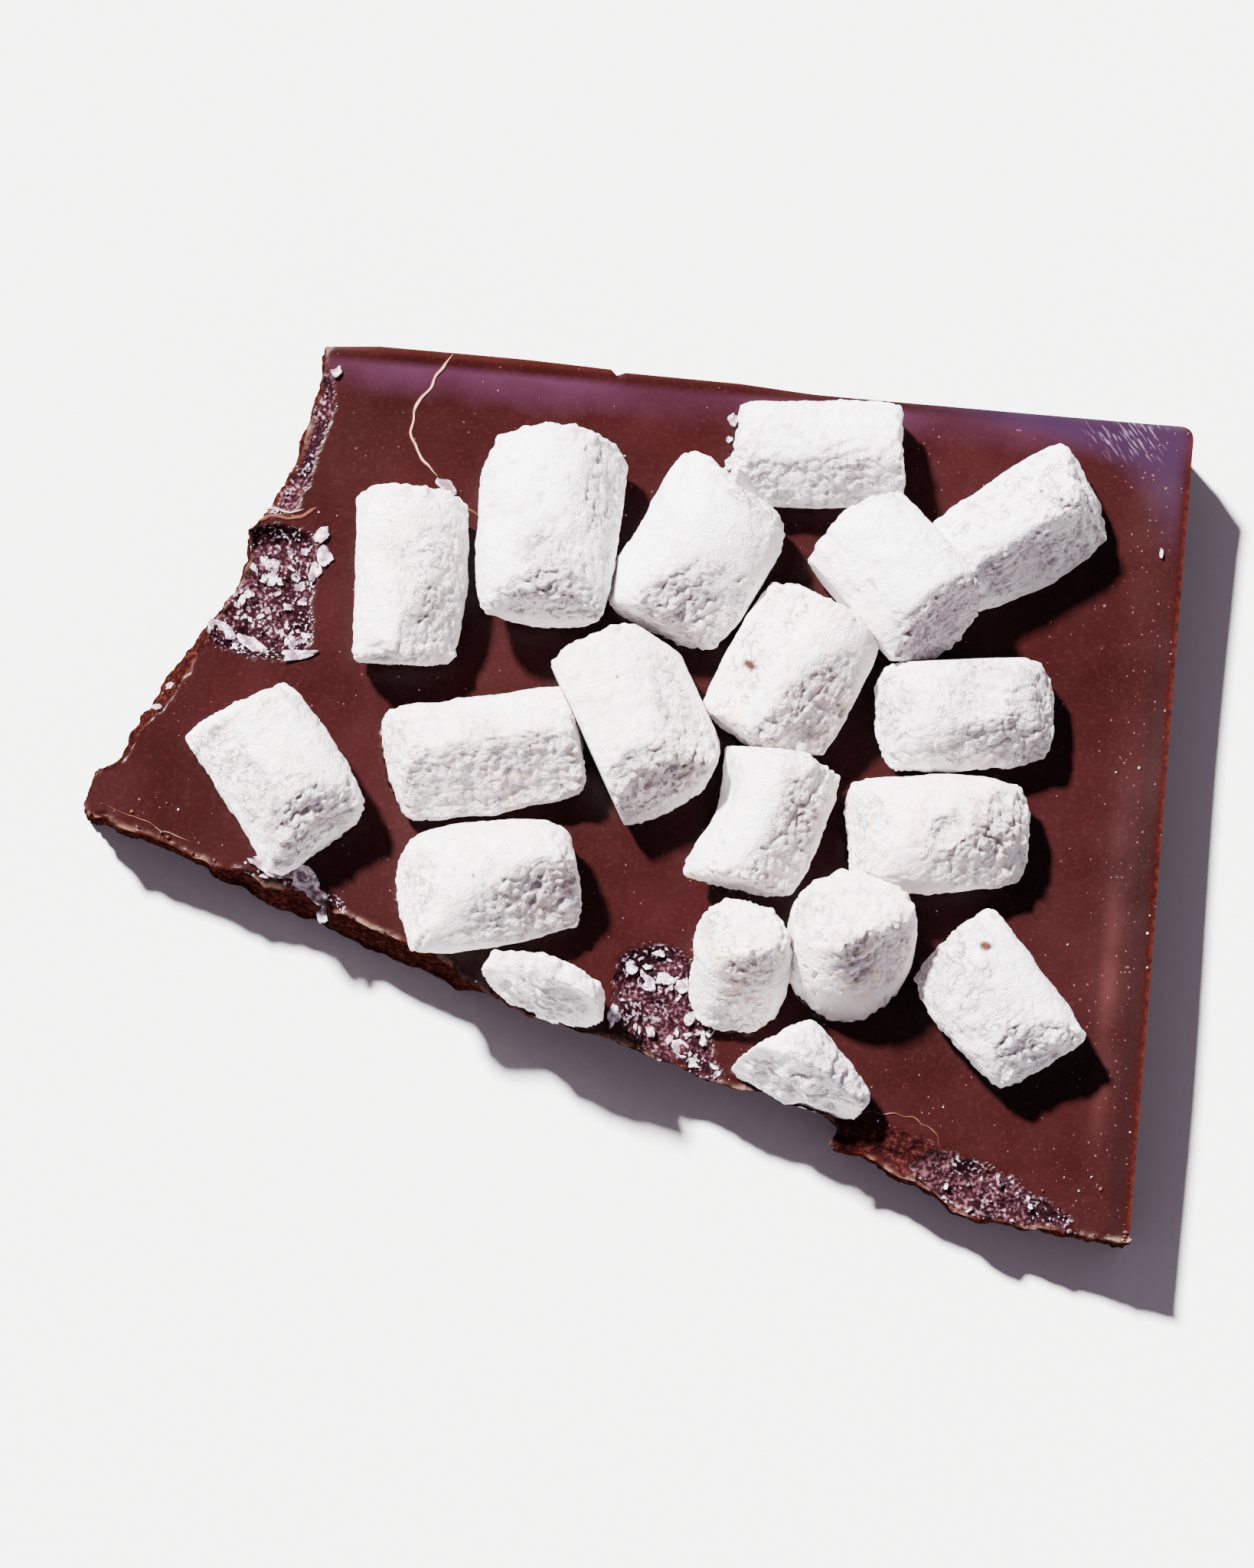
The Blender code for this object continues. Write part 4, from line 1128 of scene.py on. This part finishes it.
# Flakes: x, y, length, width and heading, then hollows full of small ones: which
# imprint, how many, and the least and the greatest size. They lie over this share
# of the hollow, either way from its middle
FLAKES = (
    (-69.3, -2.1, 0.9, 0.6, 40), (-69.3, -15.3, 1.7, 0.8, 60), (-68.9, -16.9, 1.5, 0.9, 100),
    (-69.5, -18.2, 1.6, 0.9, 70), (-72.8, -18.5, 2.2, 1.5, 30), (-73.6, -17.3, 1.5, 1.0, 110),
    (-76.6, -23.4, 3.0, 1.3, -13), (-74.4, -24.2, 2.7, 1.0, -20), (-70.2, -25.1, 2.4, 0.8, 10),
    (-68.9, -42.4, 2.4, 1.0, -25), (-70.9, -42.3, 3.2, 1.3, -14), (-68.0, -43.4, 3.0, 1.5, -42),
    (-67.4, -43.9, 2.5, 1.1, -48), (-66.6, -45.6, 1.3, 0.7, -70), (-41.8, -47.8, 1.5, 0.9, 30),
    (-40.3, -48.7, 1.6, 1.0, -50), (-38.8, -48.2, 1.7, 0.9, 20), (-37.3, -48.6, 1.4, 1.0, 70),
    (-39.5, -46.4, 0.8, 0.5, 0), (-36.5, -51.2, 1.2, 0.8, 60), (-37.2, -53.8, 1.5, 0.9, -30),
    (-35.9, -54.9, 1.3, 0.8, 20), (-42.7, -51.7, 1.6, 0.8, 75), (-35.4, -53.0, 1.1, 0.7, 90),
    (-80.3, -28.6, 0.7, 0.4, 50), (-81.2, -30.3, 0.6, 0.4, 20), (-37.4, -3.0, 0.9, 0.7, 80),
    (-37.3, -6.6, 1.1, 0.7, 60), (-37.5, -4.6, 0.6, 0.4, 90), (-37.0, -7.6, 0.8, 0.5, 20),
    (-2.2, -10.7, 0.8, 0.25, 85), (-59.7, -10.5, 2.0, 1.1, -35),
)
FILLED = ((0, 60, 0.15, 0.45), (1, 170, 0.15, 0.9), (2, 30, 0.2, 0.9), (3, 90, 0.15, 0.8),
          (5, 110, 0.13, 0.5))
FILLED_SHARE = 0.46
FLAKE_THICK, FLAKE_CURL, FLAKE_BUCKLE, FLAKE_LIFT = 0.13, 0.12, 0.14, 0.06
FLAKE_ROWS, FLAKE_COLUMNS = 7, 16


def scraps(centres, halves, headings, rows, columns, ragged, curl, seed):
    """Many small closed shapes as one list of points: a unit ball on a grid with
    its radius made ragged by smooth random values of the direction, scaled along
    three axes, curled up by the square of its radius, turned and moved."""
    polar = np.linspace(0, math.pi, rows + 2)[1:-1, None]
    around = np.arange(columns) * 2 * math.pi / columns
    ball = np.stack((np.sin(polar) * np.cos(around), np.sin(polar) * np.sin(around),
                     np.cos(polar) + 0 * around), axis=2)
    ball = close_ends(ball)[None]
    own = np.arange(len(centres))[:, None, None] * 7.3
    ball = ball * (1 + ragged * lumps(ball + own, 0.62, seed))[..., None]
    shape = ball * halves[:, None, :]
    shape[..., 2] += curl * (ball[..., :2] ** 2).sum(axis=2)
    cos, sin = np.cos(headings)[:, None], np.sin(headings)[:, None]
    turned = np.stack((shape[..., 0] * cos - shape[..., 1] * sin,
                       shape[..., 0] * sin + shape[..., 1] * cos, shape[..., 2]), axis=2)
    points = turned + centres[:, None, :]
    shift = np.arange(len(centres))[:, None, None] * ball.shape[1]
    faces = [(face[None] + shift).reshape(-1, face.shape[1])
             for face in shell_faces(rows, columns)]
    return points.reshape(-1, 3), faces


def on_the_bar(x, y, above):
    """Places on the top of the slab, some way above its surface."""
    return np.column_stack((x, y, slab_top(np.column_stack((x, y)))[0] + above))


bar_level = underside_of([top_points])
OPEN_SKY = 30.0


def over_the_bar(plan):
    """Whether the slab lies under each place of the plan and a step round it."""
    step = 0.3
    around = [bar_level(plan[:, 0] + dx, plan[:, 1] + dy)
              for dx in (-step, step) for dy in (-step, step)]
    return np.max(around, axis=0) < OPEN_SKY


rng = np.random.default_rng(SLAB_SEED + 1)
listed = np.array(FLAKES) * (1, 1, 1, 1, math.radians(1))
for which, count, least, greatest in FILLED:
    place = IMPRINTS[which]
    along = rng.uniform(-FILLED_SHARE, FILLED_SHARE, count) * place.length
    aside = FILLED_SHARE * (1 - rng.random(count) ** 2) * rng.choice((-1, 1), count) * place.width
    heading = math.radians(place.heading)
    size = least + (greatest - least) * rng.random(count) ** 1.7
    small = np.column_stack((
        place.x + along * math.cos(heading) - aside * math.sin(heading),
        place.y + along * math.sin(heading) + aside * math.cos(heading),
        size, size * rng.uniform(0.4, 0.8, count), rng.uniform(0, math.pi, count)))
    kept = (slab_top(small[:, :2])[1] > 0.5) & over_the_bar(small[:, :2])
    listed = np.vstack((listed, small[kept]))
flake_half = np.column_stack((listed[:, 2] / 2, listed[:, 3] / 2,
                              np.full(len(listed), FLAKE_THICK / 2)))
flake_points, flake_faces = scraps(
    on_the_bar(listed[:, 0], listed[:, 1], FLAKE_LIFT), flake_half, listed[:, 4],
    FLAKE_ROWS, FLAKE_COLUMNS, 0.75, FLAKE_CURL, 71)
flake_points[:, 2] += FLAKE_BUCKLE * lumps(flake_points, 0.6, 72)

scrap_skin, tree, shader = new_material("scraps of dried skin", 0.85, 0.25)
grain_height, grain_hollow = grain_node(tree, 0.22)
scrap_white = blend_node(tree, patches(tree, 0.7, 3.0, 0.40, 0.60), (0.14, 0.085, 0.12), (0.66, 0.61, 0.68))
# Painted shade in the hollows of the grain
scrap_white = coat(tree, scrap_white, (0.10, 0.05, 0.07), grain_hollow, 0.6)
lay_on(tree, shader, scrap_white, grain_height, 0.8, 0.08)
new_piece("skin_flakes", flake_points, flake_faces, scrap_skin, "marshmallow")

# Threads of painted highlight, pale in the middle and orange at the fringe: the
# crack's lit line, and thin lit lines along the top edges of the hollows and breaks:
# each one with its width, its height and how orange it is, then its way over the top
THREADS = (
    (0.28, 0.15, 0.0, (-60.3, 0.1), (-60.9, -1.0), (-61.8, -2.7), (-62.7, -4.3), (-62.9, -6.8),
     (-61.9, -8.5), (-60.6, -9.8)),
    (0.16, 0.1, 0.6, (-58.6, -11.3), (-57.8, -12.2), (-57.0, -12.8)),
    (0.22, 0.2, 0.0, (-74.0, -13.7), (-73.1, -13.4), (-72.0, -13.7), (-70.9, -13.3)),
    (0.34, 0.2, 0.8, (-74.5, -14.6), (-73.6, -14.1), (-72.3, -14.2), (-70.9, -13.9), (-70.0, -13.1)),
    (0.10, 0.1, 0.5, (-24.4, -58.3), (-21.9, -57.5), (-18.6, -57.6), (-16.2, -58.9), (-15.9, -60.0)),
    (0.08, 0.08, 0.4, (-84.6, -38.6), (-82.0, -39.3), (-79.6, -40.3), (-77.4, -40.9)),
)
THREAD_STEPS, THREAD_COLUMNS = 90, 8


def thread(wide, high, orange_share, way):
    """A flat round section carried along a way over the slab's top: the way is
    walked in even steps and wanders by smooth random values, and the section
    swells, thins and tapers off at both ends. Also gives how orange each point
    of the painted highlight is, by its distance from the middle line."""
    corners = np.array(way)
    shares = np.linspace(0, 1, THREAD_STEPS)
    line = resample(corners, shares)
    for _ in range(6):
        line[1:-1] = (line[:-2] + 2 * line[1:-1] + line[2:]) / 4
    flat = np.column_stack((line, np.zeros(THREAD_STEPS)))
    line = line + 0.16 * np.column_stack((lumps(flat, 0.9, 81), lumps(flat, 0.9, 82)))
    ahead = np.gradient(line, axis=0)
    ahead = ahead / np.linalg.norm(ahead, axis=1, keepdims=True)
    side = np.column_stack((-ahead[:, 1], ahead[:, 0]))
    around = np.arange(THREAD_COLUMNS) * 2 * math.pi / THREAD_COLUMNS
    swell = (1 + 0.45 * lumps(flat, 0.8, 83)) * np.minimum(1, 9 * np.minimum(shares, 1 - shares) + 0.1)
    across = wide / 2 * swell[:, None] * np.cos(around)
    up = high / 2 * swell[:, None] * np.sin(around)
    level = slab_top(line)[0]
    return np.stack((line[:, :1] + side[:, :1] * across, line[:, 1:] + side[:, 1:] * across,
                     level[:, None] + 0.03 + up), axis=2), orange_share + np.abs(np.cos(around)) + 0 * across


threads = [thread(wide, high, orange_share, way) for wide, high, orange_share, *way in THREADS]
thread_points = np.vstack([close_ends(points) for points, _ in threads])
thread_count = THREAD_STEPS * THREAD_COLUMNS + 2
thread_shift = np.arange(len(THREADS))[:, None, None] * thread_count
thread_faces = [(face[None] + thread_shift).reshape(-1, face.shape[1])
                for face in shell_faces(THREAD_STEPS, THREAD_COLUMNS)]
painted_highlight_thread, tree, shader = new_material("painted highlight thread", 0.7, 0.25)
# Pale in the middle and orange at the fringe: painted highlight
orange_fringe = math_node(tree, "MULTIPLY_ADD", noise_node(tree, 0.8, 3.0), 0.9, mask_node(tree, "rim"))
lay_on(tree, shader, blend_node(tree, ramp_node(tree, orange_fringe, 0.78, 0.98),
                                (0.42, 0.28, 0.21), (0.062, 0.011, 0.0045)))
new_piece("painted_highlight_threads", thread_points, thread_faces, painted_highlight_thread, "marshmallow",
          masks=(("rim", np.concatenate([with_poles(rim) for _, rim in threads])),))

# Crumbs: how many are tried, the least and the greatest size, and how strongly
# they gather at the breaks (those under a marshmallow are dropped)
SUGAR_CRUMBS = (260, 0.035, 0.12, 0.3)
CHOCOLATE_CRUMBS = (220, 0.07, 0.22, 1.0)
CRUMB_ROWS, CRUMB_COLUMNS = 3, 6


def crumbs(count, least, greatest, at_breaks, seed):
    """Small ragged lumps on the top: part of them at random over the plan's grid
    and part drawn towards the breaks and the right edge by a power, with the
    small sizes the most common."""
    rng = np.random.default_rng(seed)
    u, v = rng.random(count), rng.random(count)
    drawn = rng.random(count) < at_breaks
    v = np.where(drawn, v ** 6, v)
    u = np.where(rng.random(count) < 0.25, 1 - (1 - u) ** 2 * 0.12, u)
    column = (u * ACROSS).astype(int).clip(2, ACROSS - 2)
    row = (v * DEEP).astype(int).clip(2, DEEP - 2)
    spot = plan[row, column] + rng.uniform(-0.2, 0.2, (count, 2))
    spot = spot[(seated(spot[:, 0], spot[:, 1]) > OPEN_SKY) & over_the_bar(spot)]
    size = least + (greatest - least) * rng.random(len(spot)) ** 3
    halves = size[:, None] * rng.uniform(0.6, 1.2, (len(spot), 3))
    centres = on_the_bar(spot[:, 0], spot[:, 1], 0.0)
    centres[:, 2] += size * 0.4
    return scraps(centres, halves, rng.uniform(0, math.pi, len(spot)), CRUMB_ROWS,
                  CRUMB_COLUMNS, 0.4, 0.0, seed + 1)


new_piece("sugar_crumbs", *crumbs(*SUGAR_CRUMBS, 91), scrap_skin, "marshmallow")
brown_crumb, tree, shader = new_material("chocolate crumb", 0.5, 0.25)
lay_on(tree, shader, blend_node(tree, noise_node(tree, 0.7), (0.020, 0.0045, 0.0040),
                                (0.085, 0.020, 0.011)))
new_piece("chocolate_crumbs", *crumbs(*CHOCOLATE_CRUMBS, 95), brown_crumb, "chocolate")


# The floor, the light and the camera: a pale table top under one soft key light
# from the upper left with a cool fill, seen from above as in the photograph.

VIEW_TURN = math.radians(5.2)
TOWARD_CAMERA = Vector((-0.029, -0.133, 1.0)).normalized()
CAMERA_AWAY, FRAME_WIDE, SENSOR = 0.9, 0.100, 36.0
FLOOR_SIZE, FLOOR_BELOW = 3.0, 0.00005
KEY_ENERGY, KEY_SPREAD, KEY_COLOUR = 32.0, math.radians(5), (1.0, 0.97, 0.95)
KEY_FROM = Vector((-0.38, 0.59, 0.71))
FILL_COLOUR, FILL_STRENGTH = (0.85, 0.68, 0.88, 1), 0.25

bpy.ops.mesh.primitive_grid_add(x_subdivisions=8, y_subdivisions=8, size=FLOOR_SIZE,
                                location=(0, 0, -FLOOR_BELOW))
floor = bpy.context.object
floor.name = "pale_floor"
pale, tree, shader = new_material("pale table top", 0.8, 0.5)
lay_on(tree, shader, blend_node(tree, noise_node(tree, 0.8, 3.0), (0.79, 0.79, 0.785), (0.84, 0.84, 0.835)))
floor.data.materials.append(pale)

image_right = Vector((math.cos(VIEW_TURN), math.sin(VIEW_TURN), 0.0))
image_right = (image_right - image_right.dot(TOWARD_CAMERA) * TOWARD_CAMERA).normalized()
image_up = TOWARD_CAMERA.cross(image_right)
looks = Matrix((image_right, image_up, TOWARD_CAMERA)).transposed()
camera_data = bpy.data.cameras.new("camera")
camera_data.sensor_width = SENSOR
camera_data.lens = SENSOR * CAMERA_AWAY / (FRAME_WIDE * 2048 / 1638)
camera_data.clip_start, camera_data.clip_end = 0.01, 10.0
camera = bpy.data.objects.new("camera", camera_data)
bpy.context.scene.collection.objects.link(camera)
middle = (cad_low + cad_high) / 2
camera.matrix_world = Matrix.Translation(middle + TOWARD_CAMERA * CAMERA_AWAY) @ looks.to_4x4()
bpy.context.scene.camera = camera

key_data = bpy.data.lights.new("key", "SUN")
key_data.energy = KEY_ENERGY
key_data.angle = KEY_SPREAD
key_data.color = KEY_COLOUR
key = bpy.data.objects.new("key", key_data)
bpy.context.scene.collection.objects.link(key)
key.rotation_mode = "QUATERNION"
key.rotation_quaternion = (looks @ KEY_FROM).to_track_quat("Z", "Y")

world = bpy.data.worlds.new("soft fill")
world.use_nodes = True
background = world.node_tree.nodes["Background"]
background.inputs["Color"].default_value = FILL_COLOUR
background.inputs["Strength"].default_value = FILL_STRENGTH
bpy.context.scene.world = world
